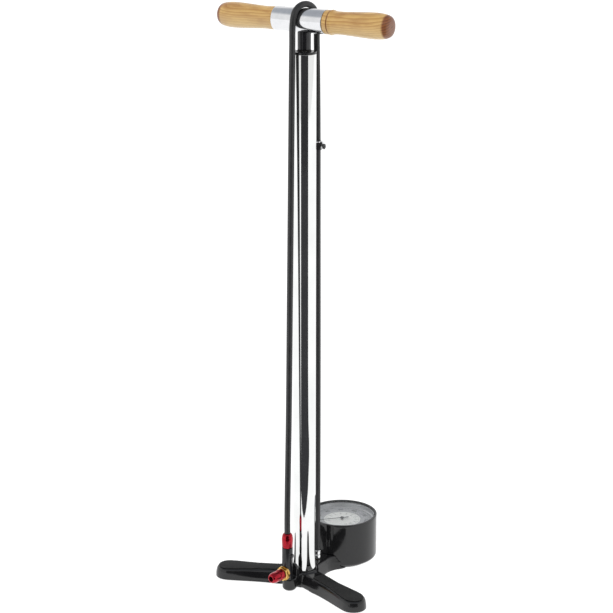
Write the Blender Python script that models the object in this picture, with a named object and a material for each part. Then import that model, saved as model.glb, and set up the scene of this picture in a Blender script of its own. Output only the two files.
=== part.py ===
"""Floor bike pump: cast three-legged base, steel barrel, T handle, hose with chuck, and gauge.

Frame: +Z up, +X along the handle, +Y from the barrel towards the gauge. The origin is on the
barrel's axis at the floor. Sizes are in metres.
"""
from math import cos, pi, radians, sin, sqrt

import bmesh
import bpy
from mathutils import Matrix, Vector

# ---- driving dimensions -------------------------------------------------------------------
SEAT_GAP = 0.0003          # between two pieces that touch
RUNNING_GAP = 0.0001       # round a piece that slides or turns in another
SIDES = 40                 # facets of a large round piece
SMALL_SIDES = 24           # facets of a small round piece

BARREL_R = 0.0139
BARREL_WALL = 0.0012
BARREL_LENGTH = 0.6416
ROD_R = 0.0050

HUB_R = 0.0180
HUB_FLOOR = 0.0060         # metal under the barrel
HUB_TOP = 0.0195
GASKET_T = 0.0015

LEG_ANGLE = radians(20.7)  # each front leg's turn from the X axis towards the front
LEG_REACH = 0.0950         # barrel axis to the centre of the leg's round tip
LEG_HALF = 0.0140          # half width at the floor
LEG_TOP_HALF = 0.0092      # half width of the flat top
TIP_R = 0.0158
TIP_TOP_R = 0.0132
TIP_TOP = 0.0160           # height at the tip
LEG_BOTTOM = 0.0004        # the legs stand clear of the floor on their feet
PAD_T = 0.0010
PAD_MARGIN = 0.0012
FOOT_R = 0.0080
FOOT_T = 0.0020

BOSS_Y = -0.0340
BOSS_R = 0.0087
BOSS_BOTTOM = 0.0040
BOSS_TOP = 0.0195
LUG_TOP = 0.0350
LUG_HALF = 0.0065
LUG_Y = -0.0250
LUG_T = 0.0050

NECK_HALF = 0.0125
PORT_Y = 0.0310            # hose port on the back leg
PORT_R = 0.0030
AIRWAY_R = 0.0015
AIRWAY_Z = 0.0042

GAUGE_Y = 0.0915
GAUGE_R = 0.0435
GAUGE_WALL = 0.0020
GAUGE_FLOOR = 0.0025
GAUGE_BOTTOM = 0.0030
GAUGE_HEIGHT = 0.0559
GAUGE_CORNER = 0.0050
DIAL_DEPTH = 0.0086        # dial face below the rim
DIAL_T = 0.0010
LENS_T = 0.0015
PLATE_R = 0.0370

CAP_T = 0.0025
CAP_SPIGOT = 0.0180
BUSH_R = 0.0087
STEM_R = 0.0077
STEM_LENGTH = 0.0190
BUMPER_T = 0.0012
SLEEVE_R = 0.0139
SLEEVE_BORE = 0.0105
SLEEVE_LEFT = -0.0365
SLEEVE_RIGHT = 0.0295
COLLAR_W = 0.0065
GRIP_END = 0.1123

PISTON_Z = 0.0340
PISTON_T = 0.0120
HOSE_R = 0.0036
FERRULE_R = 0.0043
FERRULE_H = 0.0120
CLIP_Z = 0.5410

CHUCK_Y = -0.0387
CHUCK_R = 0.0065
CHUCK_BOTTOM = 0.0200
CHUCK_TOP = 0.0604
COLLAR_H = 0.0183
CHUCK_COLLAR_R = 0.0069
HEAD_Z = 0.0287
HEAD_TURN = radians(10)    # the head's turn from -Y towards -X
HEAD_TIP = 0.0295          # chuck axis to the head's face
HEAD_R = 0.0068
RING_R = 0.0087
RING_START = 0.0048
RING_T = 0.0058
MOUTH_R = 0.0034
PEG_R = 0.0028
BUTTON_Z = 0.0505
BUTTON_R = 0.0026

# ---- sizes that follow from them ----------------------------------------------------------
BARREL_BORE = BARREL_R - BARREL_WALL
BARREL_Z = HUB_FLOOR + GASKET_T + 2 * SEAT_GAP
BARREL_TOP = BARREL_Z + BARREL_LENGTH
CAP_Z = BARREL_TOP + SEAT_GAP
CAP_TOP = CAP_Z + CAP_T
CAP_FOOT = CAP_Z - CAP_SPIGOT
STEM_Z = CAP_TOP + BUMPER_T + 2 * SEAT_GAP
HANDLE_Z = STEM_Z + STEM_LENGTH + SLEEVE_R
GAUGE_TOP = GAUGE_BOTTOM + GAUGE_HEIGHT
GAUGE_BORE = GAUGE_R - GAUGE_WALL
DIAL_TOP = GAUGE_TOP - DIAL_DEPTH
PISTON_TOP = PISTON_Z + PISTON_T
PORT_Z = HUB_TOP + SEAT_GAP


# ---- small tools --------------------------------------------------------------------------
for old in list(bpy.context.scene.objects):
    bpy.data.objects.remove(old, do_unlink=True)


def linear(value):
    return value / 12.92 if value <= 0.04045 else ((value + 0.055) / 1.055) ** 2.4


def material(name, colour, roughness, metallic=0.0):
    made = bpy.data.materials.get(name)
    if made:
        return made
    made = bpy.data.materials.new(name)
    made.use_nodes = True
    shader = made.node_tree.nodes["Principled BSDF"]
    parts = [linear(int(colour[i:i + 2], 16) / 255) for i in (0, 2, 4)]
    shader.inputs["Base Color"].default_value = (*parts, 1)
    shader.inputs["Roughness"].default_value = roughness
    shader.inputs["Metallic"].default_value = metallic
    return made


FINISHES = {
    "black_enamel": ("17171a", 0.20, 0.0),
    "black_anodised": ("1c1c1f", 0.30, 0.6),
    "polished_steel": ("d2d2d0", 0.08, 1.0),
    "polished_aluminium": ("d8d9da", 0.15, 1.0),
    "plain_aluminium": ("b4b6b8", 0.35, 1.0),
    "red_anodised": ("b0121c", 0.25, 0.8),
    "brass": ("c39a48", 0.30, 1.0),
    "varnished_wood": ("d09a55", 0.35, 0.0),
    "black_rubber": ("1b1b1b", 0.60, 0.0),
    "black_plastic": ("242427", 0.45, 0.0),
    "printed_dial": ("cfd0ce", 0.50, 0.0),
    "clear_lens": ("eef2f2", 0.05, 0.0),
    "oiled_bronze": ("8f6b3a", 0.40, 1.0),
}


def place(name, mesh, finish, location=(0, 0, 0), rotation=(0, 0, 0), parent=None):
    mesh.materials.clear()
    mesh.materials.append(material(finish, *FINISHES[finish]))
    mesh.shade_smooth()
    mesh.set_sharp_from_angle(angle=radians(35))
    made = bpy.data.objects.new(name, mesh)
    made.location = location
    made.rotation_euler = rotation
    made.parent = parent
    bpy.context.scene.collection.objects.link(made)
    return made


def finished(bm, name):
    bmesh.ops.remove_doubles(bm, verts=bm.verts, dist=1e-7)
    bmesh.ops.recalc_face_normals(bm, faces=bm.faces)
    mesh = bpy.data.meshes.new(name)
    bm.to_mesh(mesh)
    bm.free()
    return mesh


def turned(profile, sides=SMALL_SIDES, angle=2 * pi):
    """A mesh turned about Z from (radius, height) points: closed, or from axis to axis."""
    bm = bmesh.new()
    points = [bm.verts.new((r, 0, z)) for r, z in profile]
    on_axis = profile[0][0] == 0 and profile[-1][0] == 0
    edges = [bm.edges.new(pair) for pair in zip(points, points[1:])]
    if not on_axis:
        edges.append(bm.edges.new((points[-1], points[0])))
    whole = abs(angle - 2 * pi) < 1e-6
    bmesh.ops.spin(bm, geom=points + edges, axis=(0, 0, 1), cent=(0, 0, 0), steps=sides,
                   angle=angle, use_merge=whole, use_duplicate=False)
    if not whole:
        bmesh.ops.holes_fill(bm, edges=[e for e in bm.edges if e.is_boundary])
    return finished(bm, "turned")


def rod_points(radius, low, high):
    return [(0, low), (radius, low), (radius, high), (0, high)]


def ring_points(inner, outer, low, high):
    return [(inner, low), (outer, low), (outer, high), (inner, high)]


def bevelled_ring(inner, outer, low, high, edge):
    return [(inner, low), (outer - edge, low), (outer, low + edge), (outer, high - edge),
            (outer - edge, high), (inner, high)]


def block(x_range, y_range, z_range):
    bm = bmesh.new()
    bmesh.ops.create_cube(bm, size=1)
    centre = [(a + b) / 2 for a, b in (x_range, y_range, z_range)]
    size = [b - a for a, b in (x_range, y_range, z_range)]
    bmesh.ops.scale(bm, vec=size, verts=bm.verts)
    bmesh.ops.translate(bm, vec=centre, verts=bm.verts)
    return finished(bm, "block")


def hexagon(across_flats, low, high):
    bm = bmesh.new()
    bmesh.ops.create_cone(bm, cap_ends=True, segments=6, radius1=across_flats / sqrt(3),
                          radius2=across_flats / sqrt(3), depth=high - low)
    bmesh.ops.translate(bm, vec=(0, 0, (low + high) / 2), verts=bm.verts)
    return finished(bm, "hexagon")


def tool(profile, sides=SMALL_SIDES):
    """A turned cutting tool, its facets set off from those of the piece that it cuts."""
    mesh = turned(profile, sides)
    mesh.transform(Matrix.Rotation(radians(3.7), 4, "Z"))
    return mesh


def lofted(rings):
    """A closed mesh through rings of the same number of points, with flat ends."""
    bm = bmesh.new()
    rows = [[bm.verts.new(p) for p in ring] for ring in rings]
    for low, high in zip(rows, rows[1:]):
        for i in range(len(low)):
            j = (i + 1) % len(low)
            bm.faces.new((low[i], low[j], high[j], high[i]))
    bm.faces.new(list(reversed(rows[0])))
    bm.faces.new(rows[-1])
    bmesh.ops.triangulate(bm, faces=bm.faces)
    return finished(bm, "loft")


def moved(mesh, location=(0, 0, 0), rotation=None):
    matrix = Matrix.Translation(location)
    if rotation:
        matrix = matrix @ rotation
    mesh.transform(matrix)
    return mesh


def shape_by(target, mesh, operation="DIFFERENCE"):
    """Cut a mesh from an object, or join it on, with a hidden tool in the object's frame.

    Tools that follow one another with the same operation act together, in one step.
    """
    last = target.modifiers[-1] if target.modifiers else None
    if last is None or last.operation != operation:
        last = target.modifiers.new("shape", "BOOLEAN")
        last.operation = operation
        last.solver = "EXACT"
        last.operand_type = "COLLECTION"
        last.collection = bpy.data.collections.new(target.name + "_tools")
        bpy.context.scene.collection.children.link(last.collection)
    guide = bpy.data.objects.new(target.name + "_guide", mesh)
    guide.location = target.location
    guide.rotation_euler = target.rotation_euler
    guide.parent = target.parent
    guide.hide_render = True
    guide.display_type = "WIRE"
    last.collection.objects.link(guide)


def tube(name, points, radius, finish, sides_half=3):
    curve = bpy.data.curves.new(name, "CURVE")
    curve.dimensions = "3D"
    curve.bevel_depth = radius
    curve.bevel_resolution = sides_half
    curve.use_fill_caps = True
    curve.render_resolution_u = 0
    line = curve.splines.new("POLY")
    line.points.add(len(points) - 1)
    for spot, place_at in zip(line.points, points):
        spot.co = (*place_at, 1)
    curve.materials.append(material(finish, *FINISHES[finish]))
    made = bpy.data.objects.new(name, curve)
    bpy.context.scene.collection.objects.link(made)
    return made


TO_X = Matrix.Rotation(radians(90), 4, "Y")      # turns a piece made along Z to lie along X


# ---- base casting -------------------------------------------------------------------------
def leg_height(along, top):
    """The leg's top falls in a straight line from the hub to the tip."""
    return top + (TIP_TOP - HUB_TOP) * along / LEG_REACH


def leg_half(along, half, tip_half):
    """Half width along the leg: even, then an easy flare into the round tip."""
    start = 0.55 * LEG_REACH
    t = max(0.0, min(1.0, (along - start) / (LEG_REACH - start)))
    return half + (tip_half - half) * t * t * (3 - 2 * t)


def leg_ring(half, tip_half, height, side, start=0.0, stations=9, arc=10):
    """One closed plan outline of a leg at a height, or at the height given by a function."""
    spots = []
    for i in range(stations):
        along = start + (LEG_REACH - start) * i / stations
        spots.append((along, -leg_half(along, half, tip_half)))
    for i in range(arc + 1):
        turn = -pi / 2 + pi * i / arc
        spots.append((LEG_REACH + tip_half * cos(turn), tip_half * sin(turn)))
    for i in reversed(range(stations)):
        along = start + (LEG_REACH - start) * i / stations
        spots.append((along, leg_half(along, half, tip_half)))
    ring = []
    for along, across in spots:
        z = height(along) if callable(height) else height
        x = along * cos(LEG_ANGLE) + across * sin(LEG_ANGLE)
        y = -along * sin(LEG_ANGLE) + across * cos(LEG_ANGLE)
        ring.append((side * x, y, z))
    return ring if side > 0 else list(reversed(ring))


def leg_mesh(side):
    lip = 0.0012
    shoulder = 0.0020
    side_z = 0.0060
    pad_drop = PAD_T + SEAT_GAP
    return lofted([
        leg_ring(LEG_HALF - lip, TIP_R - lip, LEG_BOTTOM, side),
        leg_ring(LEG_HALF, TIP_R, LEG_BOTTOM + lip, side),
        leg_ring(LEG_HALF - lip / 2, TIP_R, side_z, side),
        leg_ring((LEG_HALF + LEG_TOP_HALF) / 2, TIP_R - 0.0008,
                 lambda a: leg_height(a, HUB_TOP) - pad_drop - 2 * shoulder, side),
        leg_ring(LEG_TOP_HALF + 0.0008, TIP_TOP_R + 0.0009,
                 lambda a: leg_height(a, HUB_TOP) - pad_drop - 0.4 * shoulder, side),
        leg_ring(LEG_TOP_HALF, TIP_TOP_R, lambda a: leg_height(a, HUB_TOP) - pad_drop, side),
    ])


def back_leg_mesh():
    """The neck to the gauge: even at first, then flaring out to cradle the housing."""
    rings = []
    stations = 14
    flare_from = PORT_Y + 0.0050
    flare_length = 0.0220
    flare_most = 0.90      # it stops widening once it is inside the housing's pocket
    y_end = GAUGE_Y - 0.0275
    low_flare = 0.0120
    side_flare = 0.0160
    edge = 0.0015
    for i in range(stations + 1):
        y = y_end * i / stations
        flare = min(flare_most, max(0.0, (y - flare_from) / flare_length) ** 2)
        foot = NECK_HALF + low_flare * flare
        mid = NECK_HALF - edge / 3 + side_flare * flare
        top = NECK_HALF - 4 * edge / 3 + low_flare * flare
        half = [(foot, 0.0008), (foot + edge / 3, 0.0040), (mid, 0.0105), (top, HUB_TOP - edge),
                (top - edge, HUB_TOP - 0.0001)]
        rings.append([(x, y, z) for x, z in half] + [(-x, y, z) for x, z in reversed(half)])
    return lofted(rings)


hub_edge = 0.0020
base = place("base_casting", turned(
    [(0, 0), (HUB_R, 0), (HUB_R, HUB_TOP - hub_edge), (HUB_R - hub_edge, HUB_TOP), (0, HUB_TOP)],
    SIDES), "black_enamel")
shape_by(base, leg_mesh(1), "UNION")
shape_by(base, leg_mesh(-1), "UNION")
shape_by(base, back_leg_mesh(), "UNION")
PLATE_BOTTOM = 0.0007
shape_by(base, moved(tool(rod_points(PLATE_R, PLATE_BOTTOM, GAUGE_BOTTOM + SEAT_GAP), SIDES),
                     (0, GAUGE_Y, 0)), "UNION")
boss_edge = 0.0025
shape_by(base, moved(tool(
    [(0, BOSS_BOTTOM), (BOSS_R - boss_edge, BOSS_BOTTOM), (BOSS_R, BOSS_BOTTOM + boss_edge),
     (BOSS_R, BOSS_TOP), (0, BOSS_TOP)]), (0, BOSS_Y, 0)), "UNION")
shape_by(base, block((-LUG_HALF, LUG_HALF), (BOSS_Y, -HUB_R / 2),
                     (BOSS_BOTTOM + 0.0004, BOSS_TOP - 0.0008)), "UNION")
lug_round = moved(tool(rod_points(LUG_HALF - 0.0002, -LUG_T / 2, LUG_T / 2)),
                  (0, LUG_Y, LUG_TOP - LUG_HALF), Matrix.Rotation(radians(90), 4, "X"))
shape_by(base, block((-LUG_HALF + 0.0002, LUG_HALF - 0.0002),
                     (LUG_Y - LUG_T / 2 + 0.0001, LUG_Y + LUG_T / 2 - 0.0001),
                     (BOSS_BOTTOM + 0.002, LUG_TOP - LUG_HALF)), "UNION")
shape_by(base, lug_round, "UNION")
# cut for the gauge, then bored for the barrel and its valve, the port, the airways and the peg
CHAMBER_R = 0.0036
CHAMBER_FLOOR = 0.0024
STEM_PORT_Z = 0.0110
STEM_PORT_Y = 0.0405


def gauge_corner(gap=0.0, steps=4):
    """The housing's rounded foot, as (radius, height) points, or the same set off by a gap."""
    reach = GAUGE_CORNER + gap
    turns = [pi / 2 * i / steps for i in range(steps + 1)]
    return [(GAUGE_R - GAUGE_CORNER + reach * sin(t), GAUGE_BOTTOM + GAUGE_CORNER - reach * cos(t))
            for t in turns]


shape_by(base, moved(tool(
    [(0, GAUGE_BOTTOM - SEAT_GAP)] + gauge_corner(SEAT_GAP)
    + [(GAUGE_R + SEAT_GAP, 0.03), (0, 0.03)], SIDES), (0, GAUGE_Y, 0)))
shape_by(base, tool([
    (0, CHAMBER_FLOOR), (CHAMBER_R, CHAMBER_FLOOR), (CHAMBER_R, HUB_FLOOR),
    (BARREL_R + SEAT_GAP, HUB_FLOOR), (BARREL_R + SEAT_GAP, HUB_TOP + 0.02),
    (0, HUB_TOP + 0.02)], SIDES))
shape_by(base, moved(tool(rod_points(PORT_R + SEAT_GAP, AIRWAY_Z - 0.0002, HUB_TOP + 0.01)),
                     (0, PORT_Y, 0)))
shape_by(base, moved(tool([
    (0, PORT_Y), (AIRWAY_R, PORT_Y), (AIRWAY_R, STEM_PORT_Y), (PORT_R + SEAT_GAP, STEM_PORT_Y),
    (PORT_R + SEAT_GAP, GAUGE_Y - 0.02), (0, GAUGE_Y - 0.02)]),
                     (0, 0, STEM_PORT_Z), Matrix.Rotation(radians(-90), 4, "X")))
shape_by(base, moved(tool(rod_points(AIRWAY_R, 0.0004, PORT_Y)), (0, 0, AIRWAY_Z),
                     Matrix.Rotation(radians(-90), 4, "X")))
PEG_Z = 0.0100
shape_by(base, moved(tool(rod_points(PEG_R + SEAT_GAP, PEG_Z - SEAT_GAP, BOSS_TOP + 0.002)),
                     (0, CHUCK_Y, 0)))
shape_by(base, moved(tool(rod_points(CHUCK_R + 0.0008, BOSS_TOP + 0.0002, LUG_TOP + 0.002)),
                     (0, CHUCK_Y, 0)))
foot_spots = {
    "foot_left": (-LEG_REACH * cos(LEG_ANGLE), -LEG_REACH * sin(LEG_ANGLE)),
    "foot_right": (LEG_REACH * cos(LEG_ANGLE), -LEG_REACH * sin(LEG_ANGLE)),
}
for name, (x, y) in foot_spots.items():
    shape_by(base, moved(tool(rod_points(FOOT_R + SEAT_GAP, -0.001, FOOT_T + SEAT_GAP)),
                         (x, y, 0)))
    place(name, turned(rod_points(FOOT_R, 0, FOOT_T)), "black_rubber", (x, y, 0))
BACK_FOOT_INNER = 0.0300
BACK_FOOT_OUTER = 0.0350
foot_top = 0.0012
shape_by(base, moved(tool(
    ring_points(BACK_FOOT_INNER - SEAT_GAP, BACK_FOOT_OUTER + SEAT_GAP, 0, foot_top + SEAT_GAP),
    SIDES), (0, GAUGE_Y, 0)))
place("foot_back", turned(ring_points(BACK_FOOT_INNER, BACK_FOOT_OUTER, 0, foot_top), SIDES),
      "black_rubber", (0, GAUGE_Y, 0))


def pad_mesh(side):
    half = LEG_TOP_HALF - PAD_MARGIN
    tip_half = TIP_TOP_R - PAD_MARGIN
    start = 0.0280
    return lofted([
        leg_ring(half, tip_half, lambda a: leg_height(a, HUB_TOP) - PAD_T, side, start),
        leg_ring(half, tip_half, lambda a: leg_height(a, HUB_TOP), side, start),
    ])


place("tread_pad_left", pad_mesh(-1), "black_rubber")
place("tread_pad_right", pad_mesh(1), "black_rubber")

# ---- barrel, foot valve and cap ------------------------------------------------------------
VALVE_SPIGOT_R = 0.0104
place("barrel_gasket", turned(ring_points(VALVE_SPIGOT_R + 0.0004, BARREL_R - SEAT_GAP, HUB_FLOOR + SEAT_GAP,
                                          HUB_FLOOR + SEAT_GAP + GASKET_T)),
      "black_rubber")
place("barrel_tube", turned(ring_points(BARREL_BORE, BARREL_R, BARREL_Z, BARREL_TOP), SIDES),
      "polished_steel")
VALVE_R = BARREL_BORE - 0.0004
VALVE_TOP = 0.0175
SEAT_Z = 0.0120
INLET_R = 0.0015
place("valve_body", turned([
    (CHAMBER_R, HUB_FLOOR + SEAT_GAP), (VALVE_SPIGOT_R, HUB_FLOOR + SEAT_GAP),
    (VALVE_SPIGOT_R, BARREL_Z + SEAT_GAP), (VALVE_R, BARREL_Z + SEAT_GAP), (VALVE_R, VALVE_TOP),
    (INLET_R, VALVE_TOP), (INLET_R, SEAT_Z + CHAMBER_R - INLET_R), (CHAMBER_R, SEAT_Z)]), "brass")
BALL_R = 0.0025
BALL_Z = SEAT_Z + CHAMBER_R - (BALL_R + 2 * RUNNING_GAP) * sqrt(2)
ball = bmesh.new()
bmesh.ops.create_uvsphere(ball, u_segments=20, v_segments=12, radius=BALL_R)
place("check_ball", finished(ball, "ball"), "polished_steel", (0, 0, BALL_Z))


def coil(radius, wire, low, high, turns, steps=14):
    count = int(turns * steps)
    return [(radius * cos(2 * pi * i / steps), radius * sin(2 * pi * i / steps),
             low + wire + (high - low - 2 * wire) * i / count) for i in range(count + 1)]


VALVE_WIRE_R = 0.0003
tube("valve_spring", coil(0.0022, VALVE_WIRE_R, CHAMBER_FLOOR + SEAT_GAP,
                          BALL_Z - BALL_R - SEAT_GAP, 4), VALVE_WIRE_R, "polished_steel", 1)

BUSH_LOW = CAP_FOOT + 0.0020
WIPER_T = 0.0040
CAP_LIP_R = 0.0070
CAP_R = BARREL_R + 0.0002
cap_edge = 0.0006
place("barrel_cap", turned([
    (CAP_LIP_R, CAP_FOOT), (BARREL_BORE - SEAT_GAP, CAP_FOOT), (BARREL_BORE - SEAT_GAP, CAP_Z),
    (CAP_R, CAP_Z), (CAP_R, CAP_TOP - cap_edge), (CAP_R - cap_edge, CAP_TOP),
    (BUSH_R + SEAT_GAP, CAP_TOP), (BUSH_R + SEAT_GAP, BUSH_LOW), (CAP_LIP_R, BUSH_LOW)], SIDES),
    "black_anodised")
WIPER_Z = CAP_TOP - SEAT_GAP - WIPER_T
place("rod_bush", turned(ring_points(ROD_R + RUNNING_GAP, BUSH_R, BUSH_LOW + SEAT_GAP,
                                     WIPER_Z - SEAT_GAP)), "oiled_bronze")
place("rod_wiper", turned(ring_points(ROD_R + RUNNING_GAP, BUSH_R, WIPER_Z, WIPER_Z + WIPER_T)),
      "black_rubber")
TOP_BUMPER_H = 0.0110
TOP_BUMPER_Z = CAP_FOOT - SEAT_GAP - TOP_BUMPER_H
place("top_bumper", turned(bevelled_ring(ROD_R + 0.0004, 0.0105, TOP_BUMPER_Z,
                                         TOP_BUMPER_Z + TOP_BUMPER_H, 0.0015)),
      "black_rubber")

# ---- handle, rod and piston: one body that slides along Z ----------------------------------
plunger = bpy.data.objects.new("plunger_axis", None)
bpy.context.scene.collection.objects.link(plunger)

STEM_BORE_TOP = STEM_Z + 0.0135
ROD_TOP = STEM_BORE_TOP - SEAT_GAP
STUD_R = 0.0030
BOLT_R = 0.0026
TAP_DEPTH = 0.0160
place("piston_rod", turned([
    (0, PISTON_Z - 0.0085), (STUD_R, PISTON_Z - 0.0085), (STUD_R, PISTON_TOP + SEAT_GAP),
    (ROD_R, PISTON_TOP + SEAT_GAP), (ROD_R, ROD_TOP), (BOLT_R + SEAT_GAP, ROD_TOP),
    (BOLT_R + SEAT_GAP, ROD_TOP - TAP_DEPTH), (0, ROD_TOP - TAP_DEPTH)]),
    "polished_steel", parent=plunger)
place("stem_bumper", turned(ring_points(ROD_R + SEAT_GAP, STEM_R, CAP_TOP + SEAT_GAP,
                                        CAP_TOP + SEAT_GAP + BUMPER_T)), "black_rubber",
      parent=plunger)
stem = place("handle_stem", turned([
    (ROD_R + SEAT_GAP, STEM_Z), (STEM_R - 0.0004, STEM_Z), (STEM_R, STEM_Z + 0.0004),
    (STEM_R, HANDLE_Z - 0.002), (BOLT_R + SEAT_GAP, HANDLE_Z - 0.002),
    (BOLT_R + SEAT_GAP, STEM_BORE_TOP), (ROD_R + SEAT_GAP, STEM_BORE_TOP)], SIDES),
    "black_anodised", parent=plunger)
shape_by(stem, moved(tool(rod_points(SLEEVE_R + SEAT_GAP, -0.02, 0.02), SIDES),
                     (0, 0, HANDLE_Z), TO_X))
sleeve = place("handle_sleeve", turned([
    (SLEEVE_BORE, SLEEVE_LEFT), (SLEEVE_R - 0.0003, SLEEVE_LEFT), (SLEEVE_R, SLEEVE_LEFT + 0.0003),
    (SLEEVE_R, SLEEVE_RIGHT - 0.0003), (SLEEVE_R - 0.0003, SLEEVE_RIGHT),
    (SLEEVE_BORE, SLEEVE_RIGHT)], SIDES), "polished_aluminium", (0, 0, HANDLE_Z),
    (0, radians(90), 0), plunger)
shape_by(sleeve, moved(tool(rod_points(BOLT_R + SEAT_GAP, 0, 0.02)), (0, 0, 0),
                       Matrix.Rotation(radians(90), 4, "Y")))
HEAD_HALF = 0.0045
BOLT_SEAT = HANDLE_Z - sqrt(SLEEVE_BORE ** 2 - HEAD_HALF ** 2) + SEAT_GAP
bolt = place("handle_bolt", turned([
    (0, ROD_TOP - TAP_DEPTH + 0.001), (BOLT_R, ROD_TOP - TAP_DEPTH + 0.001), (BOLT_R, BOLT_SEAT),
    (HEAD_HALF, BOLT_SEAT), (HEAD_HALF, BOLT_SEAT + 0.0045), (0, BOLT_SEAT + 0.0045)]),
    "polished_steel", parent=plunger)
shape_by(bolt, hexagon(0.0040, BOLT_SEAT + 0.0020, BOLT_SEAT + 0.0060))

TENON_R = SLEEVE_BORE - SEAT_GAP
TENON_REACH = 0.0110       # the tenons' ends, from the handle's middle


def grip_profile(start, shoulder):
    """Radius along a grip from its shoulder to its rounded end, with its tenon."""
    span = GRIP_END - start
    marks = [(0.000, shoulder), (0.010, shoulder + 0.0002), (0.060, 0.0132), (0.170, 0.0129),
             (0.330, 0.0134), (0.520, 0.0142), (0.680, 0.0147), (0.800, 0.0146),
             (0.890, 0.0138), (0.950, 0.0125), (0.985, 0.0106), (1.000, 0.0080)]
    outline = [(r, start + span * t) for t, r in marks]
    return ([(0, TENON_REACH), (TENON_R, TENON_REACH), (TENON_R, start)] + outline
            + [(0, GRIP_END + 0.0002)])


COLLAR_X = SLEEVE_RIGHT + SEAT_GAP
place("grip_left", turned(grip_profile(-SLEEVE_LEFT + SEAT_GAP, 0.0130), SIDES),
      "varnished_wood", (0, 0, HANDLE_Z), (0, radians(-90), 0), plunger)
place("grip_right", turned(grip_profile(COLLAR_X + COLLAR_W + SEAT_GAP, 0.0141), SIDES),
      "varnished_wood", (0, 0, HANDLE_Z), (0, radians(90), 0), plunger)
place("grip_collar", turned([
    (TENON_R + SEAT_GAP, COLLAR_X), (0.0133, COLLAR_X), (0.0137, COLLAR_X + 0.0006),
    (0.0137, COLLAR_X + COLLAR_W - 0.0012), (0.0130, COLLAR_X + COLLAR_W),
    (TENON_R + SEAT_GAP, COLLAR_X + COLLAR_W)], SIDES), "varnished_wood", (0, 0, HANDLE_Z),
    (0, radians(90), 0), plunger)

PISTON_R = BARREL_BORE - 0.0004
GROOVE_LOW = PISTON_Z + 0.0040
GROOVE_HIGH = PISTON_Z + 0.0080
GROOVE_R = 0.0104
place("piston_head", turned([
    (STUD_R + SEAT_GAP, PISTON_Z), (PISTON_R, PISTON_Z), (PISTON_R, GROOVE_LOW),
    (GROOVE_R, GROOVE_LOW), (GROOVE_R, GROOVE_HIGH), (PISTON_R, GROOVE_HIGH),
    (PISTON_R, PISTON_TOP), (STUD_R + SEAT_GAP, PISTON_TOP)]), "plain_aluminium",
    parent=plunger)
place("piston_seal", turned(bevelled_ring(
    GROOVE_R + SEAT_GAP, BARREL_BORE - RUNNING_GAP, GROOVE_LOW + SEAT_GAP,
    GROOVE_HIGH - SEAT_GAP, 0.0008)), "black_rubber", parent=plunger)
WASHER_T = 0.0012
place("piston_washer", turned(ring_points(
    STUD_R + SEAT_GAP, 0.0075, PISTON_Z - SEAT_GAP - WASHER_T, PISTON_Z - SEAT_GAP)),
    "polished_steel", parent=plunger)
nut = place("piston_nut", hexagon(0.0100, PISTON_Z - 0.0070, PISTON_Z - 2 * SEAT_GAP - WASHER_T),
            "polished_steel", parent=plunger)
shape_by(nut, tool(rod_points(STUD_R + SEAT_GAP, 0, 0.05)))

# ---- hose, its foot and its clip -----------------------------------------------------------
place("hose_fitting", turned([
    (AIRWAY_R, AIRWAY_Z + 0.0035), (PORT_R, AIRWAY_Z + 0.0035), (PORT_R, HUB_TOP - SEAT_GAP),
    (AIRWAY_R, HUB_TOP - SEAT_GAP)]), "brass", (0, PORT_Y, 0))
FERRULE_TOP = PORT_Z + FERRULE_H
place("hose_ferrule", turned([
    (AIRWAY_R, PORT_Z), (FERRULE_R - 0.0004, PORT_Z), (FERRULE_R, PORT_Z + 0.0004),
    (FERRULE_R, FERRULE_TOP - 0.0018), (FERRULE_R + 0.0004, FERRULE_TOP - 0.0014),
    (FERRULE_R + 0.0004, FERRULE_TOP - 0.0004), (FERRULE_R, FERRULE_TOP),
    (AIRWAY_R, FERRULE_TOP)]), "polished_steel", (0, PORT_Y, 0))

HOSE_ROUTE = [
    (0.0000, 0.0310, 0.0321), (0.0000, 0.0310, 0.0550), (0.0008, 0.0300, 0.1300),
    (0.0020, 0.0280, 0.2400), (0.0032, 0.0255, 0.3600), (0.0042, 0.0232, 0.4700),
    (0.0047, 0.0220, 0.5410), (0.0050, 0.0205, 0.6100), (0.0053, 0.0186, 0.6600),
    (0.0050, 0.0182, 0.6860), (0.0042, 0.0150, 0.6979), (0.0026, 0.0080, 0.7036),
    (0.0005, 0.0000, 0.7053), (-0.0015, -0.0080, 0.7036), (-0.0030, -0.0150, 0.6979),
    (-0.0039, -0.0182, 0.6860), (-0.0042, -0.0188, 0.6600), (-0.0040, -0.0206, 0.6000),
    (-0.0034, -0.0240, 0.4800), (-0.0026, -0.0280, 0.3500), (-0.0015, -0.0325, 0.2200),
    (-0.0004, -0.0372, 0.1300), (0.0000, -0.0387, 0.0950), (0.0000, -0.0387, 0.0790),
]
HOSE_SPACING = 0.022       # between points on the straight runs
BEND_SHARE = 0.28          # of that spacing, where the hose bends over the handle
BEND_Z = 0.67


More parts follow.
